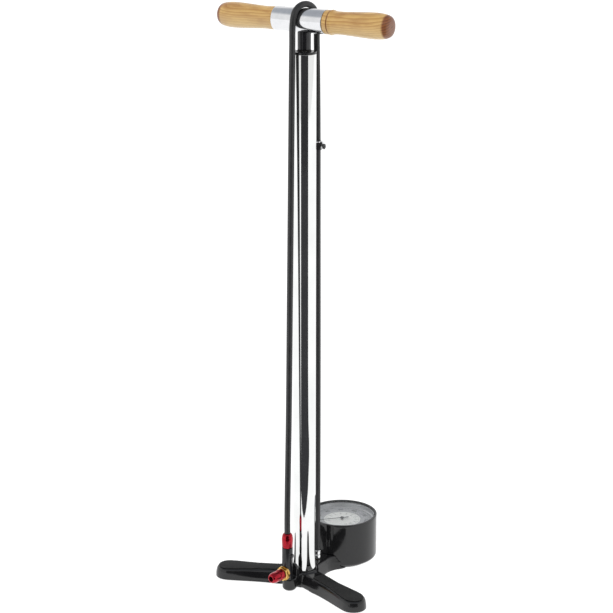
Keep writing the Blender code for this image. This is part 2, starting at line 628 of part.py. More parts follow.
def smooth_route(route, spacing):
    """Points a set distance apart along a smooth curve through the route's points."""
    knots = [Vector(p) for p in route]
    knots = [2 * knots[0] - knots[1]] + knots + [2 * knots[-1] - knots[-2]]
    fine = []
    for a, b, c, d in zip(knots, knots[1:], knots[2:], knots[3:]):
        near, far = sqrt((b - a).length), sqrt((c - b).length)
        last = sqrt((d - c).length)
        leave = ((b - a) / near - (c - a) / (near + far) + (c - b) / far) * far
        reach = ((c - b) / far - (d - b) / (far + last) + (d - c) / last) * far
        for i in range(24):
            t = i / 24
            fine.append(b * (2 * t ** 3 - 3 * t ** 2 + 1) + leave * (t ** 3 - 2 * t ** 2 + t)
                        + c * (3 * t ** 2 - 2 * t ** 3) + reach * (t ** 3 - t ** 2))
    fine.append(knots[-2])
    kept = [fine[0]]
    travelled = 0.0
    for before, after in zip(fine, fine[1:]):
        travelled += (after - before).length
        if travelled >= (spacing * BEND_SHARE if after.z > BEND_Z else spacing):
            kept.append(after)
            travelled = 0.0
    if (kept[-1] - fine[-1]).length < spacing / 2:
        kept.pop()
    return kept + [fine[-1]]


tube("hose", smooth_route(HOSE_ROUTE, HOSE_SPACING), HOSE_R, "black_rubber", 3)

CLIP_X = 0.0047
CLIP_Y = 0.0220
CLIP_LOW = CLIP_Z - 0.0046
CLIP_HIGH = CLIP_Z + 0.0040
CLIP_R = HOSE_R + SEAT_GAP
CLIP_WALL = 0.0012
CLIP_NECK_HALF = 0.0022
BAND_Z = CLIP_HIGH + SEAT_GAP
BAND_TOP = BAND_Z + 0.0012
place("hose_clip", turned(ring_points(CLIP_R, CLIP_R + CLIP_WALL, CLIP_LOW, CLIP_HIGH)),
      "black_rubber", (CLIP_X, CLIP_Y, 0), parent=plunger)
band = place("clip_band", turned(ring_points(CLIP_R, CLIP_R + 0.0015, BAND_Z, BAND_TOP)),
             "polished_aluminium", (CLIP_X, CLIP_Y, 0), parent=plunger)
NECK_START = CLIP_R + CLIP_WALL + SEAT_GAP
NECK_END = NECK_START + CLIP_NECK_HALF
shape_by(band, block((NECK_START, NECK_END), (-CLIP_NECK_HALF, CLIP_NECK_HALF),
                     (CLIP_Z - 0.0028, BAND_TOP - 0.0002)), "UNION")
shape_by(band, block((CLIP_R + CLIP_WALL / 2, NECK_END), (-CLIP_NECK_HALF, CLIP_NECK_HALF),
                     (BAND_Z + 0.0002, BAND_TOP - 0.0002)), "UNION")
SCREW_X = CLIP_X + NECK_END + SEAT_GAP
CLIP_SCREW_R = 0.0033
CLIP_SCREW_T = 0.0014
place("clip_screw", turned([
    (0, 0), (CLIP_SCREW_R - 0.0003, 0), (CLIP_SCREW_R, 0.0003),
    (CLIP_SCREW_R, CLIP_SCREW_T - 0.0004), (CLIP_SCREW_R - 0.0004, CLIP_SCREW_T),
    (0, CLIP_SCREW_T)]), "black_anodised", (SCREW_X, CLIP_Y, CLIP_Z - 0.0004), (0, radians(90), 0), plunger)

# ---- chuck on its peg ----------------------------------------------------------------------
COLLAR_Z = CHUCK_TOP + SEAT_GAP
COLLAR_TOP = COLLAR_Z + COLLAR_H - SEAT_GAP
DOME_H = 0.0064
dome_in = HOSE_R + SEAT_GAP
dome = [(dome_in + (CHUCK_COLLAR_R - dome_in) * sin(pi / 2 * i / 5),
         COLLAR_TOP - DOME_H * (1 - cos(pi / 2 * i / 5))) for i in range(6)]
place("chuck_collar", turned(
    [(AIRWAY_R, COLLAR_Z), (CHUCK_COLLAR_R - 0.0008, COLLAR_Z),
     (CHUCK_COLLAR_R - 0.0002, COLLAR_Z + 0.0034)]
    + list(reversed(dome)) + [(AIRWAY_R, COLLAR_TOP)], SIDES),
    "red_anodised", (0, CHUCK_Y, 0))
PEG_TOP = 0.0226
body = place("chuck_body", turned([
    (0, PEG_TOP + 0.0004), (PEG_R + SEAT_GAP, PEG_TOP + 0.0004), (PEG_R + SEAT_GAP, CHUCK_BOTTOM),
    (CHUCK_R - 0.0006, CHUCK_BOTTOM), (CHUCK_R, CHUCK_BOTTOM + 0.0006), (CHUCK_R, CHUCK_TOP),
    (0, CHUCK_TOP)]), "black_anodised", (0, CHUCK_Y, 0))
HEAD_AXIS = Matrix.Rotation(-HEAD_TURN, 4, "Z") @ Matrix.Rotation(radians(90), 4, "X")
shape_by(body, moved(tool(rod_points(RING_R + SEAT_GAP, RING_START - SEAT_GAP, 0.02)),
                     (0, 0, HEAD_Z), HEAD_AXIS))
shape_by(body, moved(tool(rod_points(AIRWAY_R * 0.8, 0, 0.02), 16), (0, 0, HEAD_Z), HEAD_AXIS))
shape_by(body, tool(rod_points(AIRWAY_R, HEAD_Z - 0.0025, CHUCK_TOP + 0.002), 16))
BUTTON_SEAT = 0.0030
BUTTON_IN = BUTTON_SEAT + 0.0020
SPRING_WIRE_R = 0.0002
shape_by(body, moved(tool(rod_points(BUTTON_R + RUNNING_GAP * 2, BUTTON_SEAT, 0.02)),
                     (0, 0, BUTTON_Z), TO_X))
place("dock_peg", turned([(0, PEG_Z), (PEG_R, PEG_Z), (PEG_R, PEG_TOP - 0.0006),
                          (PEG_R - 0.0006, PEG_TOP), (0, PEG_TOP)]), "brass", (0, CHUCK_Y, 0))

head_turn = (radians(90), 0, -HEAD_TURN)
ring = place("chuck_ring", turned([
    (0.0030, RING_START), (RING_R, RING_START), (RING_R, RING_START + 0.62 * RING_T),
    (RING_R - 0.0010, RING_START + RING_T), (0.0030, RING_START + RING_T)], SIDES), "brass",
    (0, CHUCK_Y, HEAD_Z), head_turn)
HEAD_START = RING_START + RING_T + SEAT_GAP
GROOVE_AT = 0.0174
BORE_R = 0.0046
BORE_END = 0.0240
head = place("chuck_head", turned([
    (BORE_R, HEAD_START), (HEAD_R, HEAD_START), (HEAD_R, GROOVE_AT - 0.0004),
    (HEAD_R - 0.0009, GROOVE_AT), (HEAD_R - 0.0009, GROOVE_AT + 0.0010),
    (HEAD_R - 0.0003, GROOVE_AT + 0.0014), (HEAD_R - 0.0003, HEAD_TIP - 0.0050),
    (HEAD_R - 0.0007, HEAD_TIP - 0.0028), (HEAD_R - 0.0015, HEAD_TIP - 0.0009),
    (HEAD_R - 0.0024, HEAD_TIP), (MOUTH_R, HEAD_TIP), (MOUTH_R, BORE_END),
    (BORE_R, BORE_END)]), "red_anodised", (0, CHUCK_Y, HEAD_Z), head_turn)
GLAND_END = HEAD_START + 0.0050
place("chuck_gland", turned(ring_points(0.0012, BORE_R - SEAT_GAP, HEAD_START + SEAT_GAP,
                                        GLAND_END)), "black_rubber", (0, CHUCK_Y, HEAD_Z),
      head_turn)
place("flip_insert", turned(ring_points(0.0030, BORE_R - SEAT_GAP, GLAND_END + SEAT_GAP,
                                        BORE_END - SEAT_GAP)), "brass", (0, CHUCK_Y, HEAD_Z),
      head_turn)

BUTTON_END = CHUCK_R + 0.0014
place("bleed_button", turned([
    (0, BUTTON_IN), (BUTTON_R, BUTTON_IN), (BUTTON_R, BUTTON_END - 0.0005),
    (BUTTON_R - 0.0005, BUTTON_END), (0, BUTTON_END)]), "black_anodised",
    (0, CHUCK_Y, BUTTON_Z), (0, radians(90), 0))
spring_at = Matrix.Translation((0, CHUCK_Y, BUTTON_Z)) @ TO_X
tube("bleed_spring", [spring_at @ Vector(p) for p in coil(
    0.0017, SPRING_WIRE_R, BUTTON_SEAT + SEAT_GAP, BUTTON_IN - SEAT_GAP, 2)],
    SPRING_WIRE_R, "polished_steel", 1)

# ---- gauge ---------------------------------------------------------------------------------
housing = place("gauge_housing", turned(
    [(0, GAUGE_BOTTOM)] + gauge_corner()
    + [(GAUGE_R, GAUGE_TOP - 0.0004), (GAUGE_R - 0.0004, GAUGE_TOP), (GAUGE_BORE, GAUGE_TOP),
       (GAUGE_BORE, GAUGE_BOTTOM + GAUGE_CORNER),
       (GAUGE_BORE - 0.002, GAUGE_BOTTOM + GAUGE_FLOOR), (0, GAUGE_BOTTOM + GAUGE_FLOOR)], SIDES),
    "black_enamel", (0, GAUGE_Y, 0))
shape_by(housing, moved(tool(rod_points(PORT_R + SEAT_GAP, 0.03, 0.06)), (0, 0, STEM_PORT_Z),
                        Matrix.Rotation(radians(90), 4, "X")))
SOCKET_Y = GAUGE_Y - GAUGE_BORE + 0.0050
SOCKET_HALF = 0.0060
socket = place("gauge_socket", moved(turned(rod_points(PORT_R, 0.0425, SOCKET_Y + 0.002)),
                                     (0, 0, STEM_PORT_Z), Matrix.Rotation(radians(-90), 4, "X")),
               "brass")
shape_by(socket, block((-SOCKET_HALF, SOCKET_HALF), (SOCKET_Y, SOCKET_Y + 0.0100),
                       (GAUGE_BOTTOM + GAUGE_FLOOR + SEAT_GAP, 0.0220)), "UNION")
shape_by(socket, moved(tool(rod_points(AIRWAY_R * 0.7, 0.04, SOCKET_Y + 0.0050)),
                       (0, 0, STEM_PORT_Z), Matrix.Rotation(radians(-90), 4, "X")))
TUBE_R = 0.0300
socket_turn = SOCKET_HALF + 3 * SEAT_GAP
TUBE_HALF = 0.0014
TUBE_LOW = 0.0122
TUBE_HIGH = 0.0193
tube_edge = 0.0018
START_TURN = -pi / 2 + socket_turn / TUBE_R
place("bourdon_tube", turned([
    (TUBE_R - 0.7 * TUBE_HALF, TUBE_LOW), (TUBE_R + 0.7 * TUBE_HALF, TUBE_LOW),
    (TUBE_R + TUBE_HALF, TUBE_LOW + tube_edge), (TUBE_R + TUBE_HALF, TUBE_HIGH - tube_edge),
    (TUBE_R + 0.7 * TUBE_HALF, TUBE_HIGH), (TUBE_R - 0.7 * TUBE_HALF, TUBE_HIGH),
    (TUBE_R - TUBE_HALF, TUBE_HIGH - tube_edge), (TUBE_R - TUBE_HALF, TUBE_LOW + tube_edge)],
    28, radians(255)), "brass",
    (0, GAUGE_Y, 0), (0, 0, START_TURN))
DIAL_Z = DIAL_TOP - DIAL_T
movement = place("gauge_movement", block((-0.0130, 0.0130), (-0.0090, 0.0090),
                                         (0.0260, DIAL_Z - 0.0030)), "brass", (0, GAUGE_Y, 0))
ARBOR_R = 0.0008
shape_by(movement, block((-0.0140, 0.0140), (-0.0060, 0.0060), (0.0290, DIAL_Z - 0.0060)))
shape_by(movement, tool(rod_points(ARBOR_R + 0.0002, 0.02, 0.06), 16))
shape_by(movement, block((-0.0040, 0.0040), (-0.0040, 0.0040),
                         (GAUGE_BOTTOM + GAUGE_FLOOR + SEAT_GAP, 0.0280)), "UNION")
shape_by(movement, tool(rod_points(ARBOR_R + 0.0002, 0.0250, 0.0300), 16))
place("gauge_dial", turned(ring_points(0.0020, GAUGE_BORE - SEAT_GAP, DIAL_Z, DIAL_TOP), SIDES),
      "printed_dial", (0, GAUGE_Y, 0))
INNER_RING_W = 0.0016
LENS_Z = GAUGE_TOP - 0.0026
place("gauge_inner_ring", turned([
    (GAUGE_BORE - SEAT_GAP - INNER_RING_W, DIAL_TOP + SEAT_GAP),
    (GAUGE_BORE - SEAT_GAP, DIAL_TOP + SEAT_GAP), (GAUGE_BORE - SEAT_GAP, LENS_Z - SEAT_GAP),
    (GAUGE_BORE - SEAT_GAP - 0.0008, LENS_Z - SEAT_GAP)], SIDES), "plain_aluminium",
    (0, GAUGE_Y, 0))
place("gauge_lens", turned(rod_points(GAUGE_BORE - SEAT_GAP, LENS_Z, LENS_Z + LENS_T), SIDES),
      "clear_lens", (0, GAUGE_Y, 0))
place("lens_ring", turned(ring_points(
    GAUGE_BORE - SEAT_GAP - 0.0010, GAUGE_BORE - SEAT_GAP, LENS_Z + LENS_T + SEAT_GAP,
    GAUGE_TOP - 0.0001), SIDES), "black_plastic", (0, GAUGE_Y, 0))
NEEDLE_Z = DIAL_TOP + 0.0014
NEEDLE_LENGTH = 0.0300
NEEDLE_HUB_R = 0.0024
NEEDLE_HUB_T = 0.0016
BLADE_Z = NEEDLE_Z + 0.0004
BLADE_T = 0.0005
ZERO_TURN = radians(-135)  # the needle's place at no pressure, from +Y
needle = place("gauge_needle", turned(ring_points(
    ARBOR_R + SEAT_GAP / 2, NEEDLE_HUB_R, NEEDLE_Z, NEEDLE_Z + NEEDLE_HUB_T)), "black_plastic",
               (0, GAUGE_Y, 0), (0, 0, -ZERO_TURN))
blade = bmesh.new()
corners = [(-0.0012, -0.0080), (0.0012, -0.0080), (0.0008, 0.0), (0.0003, NEEDLE_LENGTH),
           (-0.0003, NEEDLE_LENGTH), (-0.0008, 0.0)]
face = blade.faces.new([blade.verts.new((x, y, BLADE_Z)) for x, y in corners])
lift = bmesh.ops.extrude_face_region(blade, geom=[face])["geom"]
bmesh.ops.translate(blade, vec=(0, 0, BLADE_T),
                    verts=[v for v in lift if isinstance(v, bmesh.types.BMVert)])
shape_by(needle, finished(blade, "blade"), "UNION")
shape_by(needle, tool(rod_points(ARBOR_R + SEAT_GAP / 2, 0, 0.1)))
place("needle_arbor", turned(rod_points(ARBOR_R, 0.0275, NEEDLE_Z + 0.0012), 16), "polished_steel",
      (0, GAUGE_Y, 0))

SCREW_CIRCLE = 0.0220
SCREW_HEAD_R = 0.0032
SCREW_HEAD_LOW = 0.0010
SCREW_HEAD_TOP = 0.0019
SHANK_R = 0.0015
screw_end = GAUGE_BOTTOM + GAUGE_FLOOR + 0.002
for number in range(3):
    turn = radians(90 + 120 * number)
    x, y = SCREW_CIRCLE * cos(turn), GAUGE_Y + SCREW_CIRCLE * sin(turn)
    hole = [(0, -0.001), (SCREW_HEAD_R + 0.0004, -0.001),
            (SCREW_HEAD_R + 0.0004, SCREW_HEAD_TOP + SEAT_GAP),
            (SHANK_R + SEAT_GAP, SCREW_HEAD_TOP + SEAT_GAP), (SHANK_R + SEAT_GAP, 0.02), (0, 0.02)]
    shape_by(base, moved(tool(hole), (x, y, 0)))
    shape_by(housing, moved(tool(rod_points(SHANK_R + SEAT_GAP, 0, 0.02)), (x, y - GAUGE_Y, 0)))
    place(f"gauge_screw_{number + 1}", turned([
        (0, SCREW_HEAD_LOW), (SCREW_HEAD_R, SCREW_HEAD_LOW), (SCREW_HEAD_R, SCREW_HEAD_TOP),
        (SHANK_R, SCREW_HEAD_TOP), (SHANK_R, screw_end), (0, screw_end)]), "polished_steel",
        (x, y, 0))
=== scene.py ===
"""Floor bike pump: the finish and fine shape of every piece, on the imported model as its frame.

+Z is up the barrel, +X along the handle, +Y from the barrel towards the gauge; sizes in metres.
"""
from math import cos, pi, radians, sin, sqrt

import bmesh
import bpy
from mathutils import Matrix, Vector


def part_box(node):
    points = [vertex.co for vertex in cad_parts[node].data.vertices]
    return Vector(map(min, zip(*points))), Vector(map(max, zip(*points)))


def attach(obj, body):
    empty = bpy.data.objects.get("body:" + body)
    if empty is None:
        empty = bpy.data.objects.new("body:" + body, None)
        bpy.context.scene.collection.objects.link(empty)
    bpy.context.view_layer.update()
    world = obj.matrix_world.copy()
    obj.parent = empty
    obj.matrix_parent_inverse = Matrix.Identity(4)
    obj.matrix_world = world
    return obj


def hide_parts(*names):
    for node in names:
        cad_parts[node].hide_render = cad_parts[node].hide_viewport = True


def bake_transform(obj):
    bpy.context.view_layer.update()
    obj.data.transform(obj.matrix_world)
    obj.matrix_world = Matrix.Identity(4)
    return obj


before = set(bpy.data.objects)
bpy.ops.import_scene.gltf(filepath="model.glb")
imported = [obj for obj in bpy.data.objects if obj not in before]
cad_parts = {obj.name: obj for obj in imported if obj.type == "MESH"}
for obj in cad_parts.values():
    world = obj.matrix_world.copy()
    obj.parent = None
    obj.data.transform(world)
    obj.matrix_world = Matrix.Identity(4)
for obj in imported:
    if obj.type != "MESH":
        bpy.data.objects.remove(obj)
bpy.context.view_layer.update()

# ---- view, floor and light ------------------------------------------------------------------
# The pump stands on a pale studio floor, seen from its front right and a little above. Soft white
# walls stand all round, with a grey ceiling. Behind the viewer's place a dark doorway opens, and
# a dark cloth leads to it: only the bright metal shows them, as a dark band up its length.
VIEW_TURN = radians(31.478)
VIEW_DROP = radians(16.263)
VIEW_DISTANCE = 2.0834
VIEW_HEIGHT = 0.95985
VIEW_LENS_MM = 108.51
VIEW_SHIFT = 0.00373
camera = bpy.data.objects.new("camera", bpy.data.cameras.new("camera"))
camera.data.lens = VIEW_LENS_MM
camera.data.sensor_width = 36
camera.data.shift_x = VIEW_SHIFT
camera.location = (VIEW_DISTANCE * sin(VIEW_TURN), -VIEW_DISTANCE * cos(VIEW_TURN), VIEW_HEIGHT)
camera.rotation_euler = (pi / 2 - VIEW_DROP, 0, VIEW_TURN)
bpy.context.scene.collection.objects.link(camera)
bpy.context.scene.camera = camera
bpy.context.scene.view_settings.view_transform = "Standard"


def shade(hex_colour):
    """An sRGB hex colour as linear red, green, blue and alpha."""
    parts = [int(hex_colour[i:i + 2], 16) / 255 for i in (0, 2, 4)]
    return (*[c / 12.92 if c <= 0.04045 else ((c + 0.055) / 1.055) ** 2.4 for c in parts], 1.0)


def add(tree, kind, inputs=None, stops=(), **settings):
    """A new node: its settings, its colour stops, and a value or a link for each input named.

    A node given for an input stands for its own first output.
    """
    node = tree.nodes.new(kind)
    for name, value in settings.items():
        setattr(node, name, value)
    if stops:
        marks = node.color_ramp.elements
        while len(marks) < len(stops):
            marks.new(0.5)
        for mark, (position, colour) in zip(marks, stops):
            mark.position = position
            mark.color = shade(colour)
    for socket, value in (inputs or {}).items():
        if isinstance(value, bpy.types.Node):
            value = value.outputs[0]
        if isinstance(value, bpy.types.NodeSocket):
            tree.links.new(value, node.inputs[socket])
        else:
            node.inputs[socket].default_value = value
    return node


def started(name, roughness, metallic=0.0, **sockets):
    """A new material, its node tree and its shader, with what is the same all over set."""
    made = bpy.data.materials.new(name)
    made.use_nodes = True
    shader = made.node_tree.nodes["Principled BSDF"]
    shader.inputs["Roughness"].default_value = roughness
    shader.inputs["Metallic"].default_value = metallic
    for socket, value in sockets.items():
        shader.inputs[socket.replace("_", " ")].default_value = value
    return made, made.node_tree, shader


def dressed(tree, shader, tones=None, gloss=None, relief=None):
    """A surface's colour, roughness and relief, each following a pattern of its own.

    tones is the pattern and its colour stops. gloss is the pattern, the roughness at its low and
    high end, and where those ends are if not at 0 and 1. relief is the pattern, strength and depth.
    """
    if tones:
        colours = add(tree, "ShaderNodeValToRGB", {"Fac": tones[0]}, stops=tones[1])
        tree.links.new(colours.outputs["Color"], shader.inputs["Base Color"])
    if gloss:
        ends = dict(zip(("Value", "To Min", "To Max", "From Min", "From Max"), gloss))
        dull = add(tree, "ShaderNodeMapRange", ends)
        tree.links.new(dull.outputs["Result"], shader.inputs["Roughness"])
    if relief:
        bump = add(tree, "ShaderNodeBump", dict(zip(("Height", "Strength", "Distance"), relief)))
        tree.links.new(bump.outputs["Normal"], shader.inputs["Normal"])


def shown(name, mesh, material):
    """An object at the origin that shows a mesh in one material."""
    mesh.name = name
    mesh.materials.clear()
    mesh.materials.append(material)
    made = bpy.data.objects.new(name, mesh)
    bpy.context.scene.collection.objects.link(made)
    return made


def panel(corners):
    mesh = bpy.data.meshes.new("panel")
    mesh.from_pydata(corners, [], [list(range(len(corners)))])
    return mesh


# a sheet of opal acrylic lit evenly from below, so that hardly a shadow shows on it
lit_floor, tree, shader = started("lit_opal_acrylic_floor", 0.85, IOR=1.35)
spot = add(tree, "ShaderNodeTexCoord").outputs["Object"]
spots = add(tree, "ShaderNodeTexNoise", {"Vector": spot, "Scale": 3.0, "Detail": 2.0})
dressed(tree, shader, (spots, [(0.3, "6a6a6a"), (0.7, "6e6e6e")]))
shader.inputs["Emission Color"].default_value = shade("ffffff")
shader.inputs["Emission Strength"].default_value = 1.0
FLOOR_HALF = 14.0
floor = shown("studio_floor", panel([(-FLOOR_HALF, -FLOOR_HALF, 0), (FLOOR_HALF, -FLOOR_HALF, 0),
                                     (FLOOR_HALF, FLOOR_HALF, 0), (-FLOOR_HALF, FLOOR_HALF, 0)]),
              lit_floor)

grey_cloth, tree, shader = started("dark_studio_cloth", 0.95)
shader.inputs["Base Color"].default_value = shade("303032")
shader.inputs["Specular IOR Level"].default_value = 0.1


def towards_viewer(distance, turn_deg, height=0.0):
    turn = VIEW_TURN + radians(turn_deg)
    return (distance * sin(turn), -distance * cos(turn), height)


CLOTH_Z = 0.0005
CLOTH_FAR = 6.5
CLOTH_TOP = 3.4
near_edge = [(0.281, -33), (0.247, -32), (0.213, -27), (0.181, -18), (0.162, -4), (0.181, 16),
             (0.213, 30), (0.247, 39), (0.300, 45), (0.360, 51), (0.420, 50), (0.50, 43),
             (0.80, 39)]
cloths = [
    ("dark_cloth", [towards_viewer(distance, turn, CLOTH_Z) for distance, turn in near_edge]
     + [towards_viewer(CLOTH_FAR, 38, CLOTH_Z), towards_viewer(CLOTH_FAR, -31, CLOTH_Z)]),
    ("dark_doorway", [towards_viewer(CLOTH_FAR, turn, z)
                      for turn, z in ((-31, 0), (38, 0), (38, CLOTH_TOP), (-31, CLOTH_TOP))]),
]
for name, corners in cloths:
    cloth = shown(name, panel(corners), grey_cloth)
    cloth.visible_camera = False
    cloth.visible_diffuse = False
    cloth.visible_shadow = False

world = bpy.data.worlds.new("studio_walls")
world.use_nodes = True
bpy.context.scene.world = world
tree = world.node_tree
direction = add(tree, "ShaderNodeTexCoord").outputs["Generated"]
height = add(tree, "ShaderNodeSeparateXYZ", {"Vector": direction}).outputs["Z"]
walls = add(tree, "ShaderNodeValToRGB", {"Fac": height}, stops=[
    (0.0, "ffffff"), (0.55, "ffffff"), (0.72, "b9bdc3"), (1.0, "adb1b8")])
tree.links.new(walls.outputs["Color"], tree.nodes["Background"].inputs["Color"])
tree.nodes["Background"].inputs["Strength"].default_value = 1.0

sky = bpy.data.lights.new("overhead_silk", "SUN")
sky.angle = radians(100)
sky.energy = 2.0
silk = bpy.data.objects.new("overhead_silk", sky)
silk.rotation_euler = (radians(18), radians(-12), 0)
silk.visible_glossy = False
bpy.context.scene.collection.objects.link(silk)

# ---- hose -----------------------------------------------------------------------------------
# Black rubber hose, 7.2 mm across, moulded over a braid that shows as faint ribs. It rises from
# its ferrule behind the barrel, goes over the handle, and comes down to the chuck on its peg.
HOSE_ROUTE = [
    (0.0000, 0.0310, 0.0321), (0.0000, 0.0310, 0.0550), (0.0008, 0.0300, 0.1300),
    (0.0020, 0.0280, 0.2400), (0.0032, 0.0255, 0.3600), (0.0042, 0.0232, 0.4700),
    (0.0047, 0.0220, 0.5410), (0.0050, 0.0205, 0.6100), (0.0053, 0.0186, 0.6600),
    (0.0050, 0.0182, 0.6860), (0.0042, 0.0150, 0.6979), (0.0026, 0.0080, 0.7036),
    (0.0005, 0.0000, 0.7053), (-0.0015, -0.0080, 0.7036), (-0.0030, -0.0150, 0.6979),
    (-0.0039, -0.0182, 0.6860), (-0.0042, -0.0188, 0.6600), (-0.0040, -0.0206, 0.6000),
    (-0.0034, -0.0240, 0.4800), (-0.0026, -0.0280, 0.3500), (-0.0015, -0.0325, 0.2200),
    (-0.0004, -0.0372, 0.1300), (0.0000, -0.0387, 0.0950), (0.0000, -0.0387, 0.0790),
]
HOSE_R = 0.0036
HOSE_SIDES = 24


def through(knots, fineness):
    """A smooth curve through the knots, each span cut into the same number of steps."""
    knots = [Vector(p) for p in knots]
    knots = [2 * knots[0] - knots[1]] + knots + [2 * knots[-1] - knots[-2]]
    fine = []
    for a, b, c, d in zip(knots, knots[1:], knots[2:], knots[3:]):
        near, far, last = (sqrt((q - p).length) for p, q in ((a, b), (b, c), (c, d)))
        leave = ((b - a) / near - (c - a) / (near + far) + (c - b) / far) * far
        reach = ((c - b) / far - (d - b) / (far + last) + (d - c) / last) * far
        for i in range(fineness):
            t = i / fineness
            fine.append(b * (2 * t ** 3 - 3 * t ** 2 + 1) + leave * (t ** 3 - 2 * t ** 2 + t)
                        + c * (3 * t ** 2 - 2 * t ** 3) + reach * (t ** 3 - t ** 2))
    return fine + [knots[-2]]


def drawn_tube(path, radius, sides):
    """A round tube along a path, with flat ends and a UV map in metres round and along it."""
    bm = bmesh.new()
    uv = bm.loops.layers.uv.new("UVMap")
    rings = []
    along = [0.0]
    side = Vector((1, 0, 0))
    for i, point in enumerate(path):
        run = (path[min(i + 1, len(path) - 1)] - path[max(i - 1, 0)]).normalized()
        side = (side - run * side.dot(run)).normalized()
        up = run.cross(side)
        rings.append([bm.verts.new(point + radius * (side * cos(2 * pi * k / sides)
                                                     + up * sin(2 * pi * k / sides)))
                      for k in range(sides)])
        if i:
            along.append(along[-1] + (point - path[i - 1]).length)
    girth = 2 * pi * radius
    for i, (low, high) in enumerate(zip(rings, rings[1:])):
        for k in range(sides):
            n = (k + 1) % sides
            face = bm.faces.new((low[k], low[n], high[n], high[k]))
            spots = ((k, i), (k + 1, i), (k + 1, i + 1), (k, i + 1))
            for loop, (u, v) in zip(face.loops, spots):
                loop[uv].uv = (u / sides * girth, along[v])
    bm.faces.new(list(reversed(rings[0])))
    bm.faces.new(rings[-1])
    return bm, along[-1]


def smoothed(bm, sharp_deg=35):
    """A mesh from a bmesh, smooth except at its sharp edges."""
    mesh = bpy.data.meshes.new("mesh")
    bm.to_mesh(mesh)
    bm.free()
    mesh.shade_smooth()
    mesh.set_sharp_from_angle(angle=radians(sharp_deg))
    return mesh


# ribbed rubber: a soft sheen, and shallow ribs wound round it at a pitch of 1.4 mm
hose_rubber, tree, shader = started("braided_rubber_hose", 0.42, IOR=1.52)
around = add(tree, "ShaderNodeUVMap", uv_map="UVMap").outputs["UV"]
ribs = add(tree, "ShaderNodeTexWave", {"Vector": add(tree, "ShaderNodeMapping", {
    "Vector": around, "Rotation": (0, 0, radians(28))}), "Scale": 220.0,
    "Distortion": 0.4, "Detail": 1.0}, bands_direction="Y")
dust = add(tree, "ShaderNodeTexNoise", {"Vector": around, "Scale": 90.0, "Detail": 6.0})
dressed(tree, shader, (dust, [(0.3, "1a1a1b"), (0.75, "262627")]),
        gloss=(dust, 0.34, 0.52),
        relief=(ribs.outputs["Fac"], 0.25, 0.00012))
hose_path = through(HOSE_ROUTE, 12)
hose_bm, HOSE_LENGTH = drawn_tube(hose_path, HOSE_R, HOSE_SIDES)
hose = shown("rubber_hose", smoothed(hose_bm), hose_rubber)
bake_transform(hose)
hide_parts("hose")


# ---- base casting ---------------------------------------------------------------------------
# One aluminium casting under stoved black enamel: a hub round the barrel's foot, two front legs
# with rounded tips, and a neck that widens into a cradle for the gauge. Its edges are all soft.
def evaluated(piece):
    """A plain mesh of an object with its modifiers worked out, which then go."""
    graph = bpy.context.evaluated_depsgraph_get()
    mesh = bpy.data.meshes.new_from_object(piece.evaluated_get(graph), depsgraph=graph)
    bpy.data.objects.remove(piece, do_unlink=True)
    return mesh


def cad_copy(node):
    """A copy of a CAD node's mesh with its loose triangles joined."""
    bm = bmesh.new()
    bm.from_mesh(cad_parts[node].data)
    bmesh.ops.remove_doubles(bm, verts=bm.verts, dist=1e-6)
    return bm


def temporary(mesh):
    made = bpy.data.objects.new("temporary", mesh)
    bpy.context.scene.collection.objects.link(made)
    return made


VOXEL = 0.00085
raw = temporary(smoothed(cad_copy("base_casting")))
cast = raw.modifiers.new("cast", "REMESH")
cast.mode = "VOXEL"
cast.voxel_size = VOXEL
soften = raw.modifiers.new("soften", "SMOOTH")
soften.factor = 0.5
soften.iterations = 6
raw = temporary(evaluated(raw))
LEG_TURN = radians(20.7)
LEG_REACH = 0.0950
PAD_HALF = 0.0082
EASE_WIDTH = 0.0012
LEG_START = 0.034
LEG_FADE = 0.010
rim = raw.vertex_groups.new(name="rim")
for vert in raw.data.vertices:
    x, y = abs(vert.co.x), -vert.co.y
    along = x * cos(LEG_TURN) + y * sin(LEG_TURN)
    off = Vector((x, y)) - min(along, LEG_REACH) * Vector((cos(LEG_TURN), sin(LEG_TURN)))
    out = min((off.length - PAD_HALF) / EASE_WIDTH, (along - LEG_START) / LEG_FADE)
    if out > 0 and vert.co.y < 0:
        rim.add([vert.index], min(1.0, out), "REPLACE")
rounding = raw.modifiers.new("rounding", "SMOOTH")
rounding.vertex_group = "rim"
rounding.factor = 0.5
rounding.iterations = 34
base_mesh = evaluated(raw)
BEAD_TOP = 0.0034
BEAD_OUT = 0.0005
HUB_CLEAR = 0.030
for vert in base_mesh.vertices:
    level = vert.normal.xy.length
    far = Vector((vert.co.x, vert.co.y)).length
    if vert.co.z < BEAD_TOP and level > 0.5 and far > HUB_CLEAR and vert.co.y < 0:
        swell = sin(pi * max(0.0, vert.co.z) / BEAD_TOP)
        outward = vert.normal.xy.normalized() * BEAD_OUT * swell
        vert.co += Vector((outward.x, outward.y, 0))
base_mesh.shade_smooth()

# stoved enamel: deep gloss, an orange peel of 2.4 mm, and fine marks that dull it here and there
enamel, tree, shader = started("stoved_black_enamel", 0.12, IOR=1.5)
spot = add(tree, "ShaderNodeTexCoord").outputs["Object"]
peel = add(tree, "ShaderNodeTexNoise", {"Vector": spot, "Scale": 420.0, "Detail": 2.0})
wear = add(tree, "ShaderNodeTexNoise", {"Vector": spot, "Scale": 55.0, "Detail": 8.0,
                                        "Roughness": 0.65})
dressed(tree, shader, (wear, [(0.35, "121213"), (0.8, "1b1b1c")]),
        gloss=(wear, 0.08, 0.22, 0.35, 0.8),
        relief=(peel, 0.12, 0.0001))


def fitted(name, mesh, material, body, replaced=()):
    """A finished piece on its body, standing for its CAD nodes, which it hides."""
    piece = shown(name, mesh, material)
    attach(piece, body)
    if replaced:
        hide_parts(*replaced)
    return piece


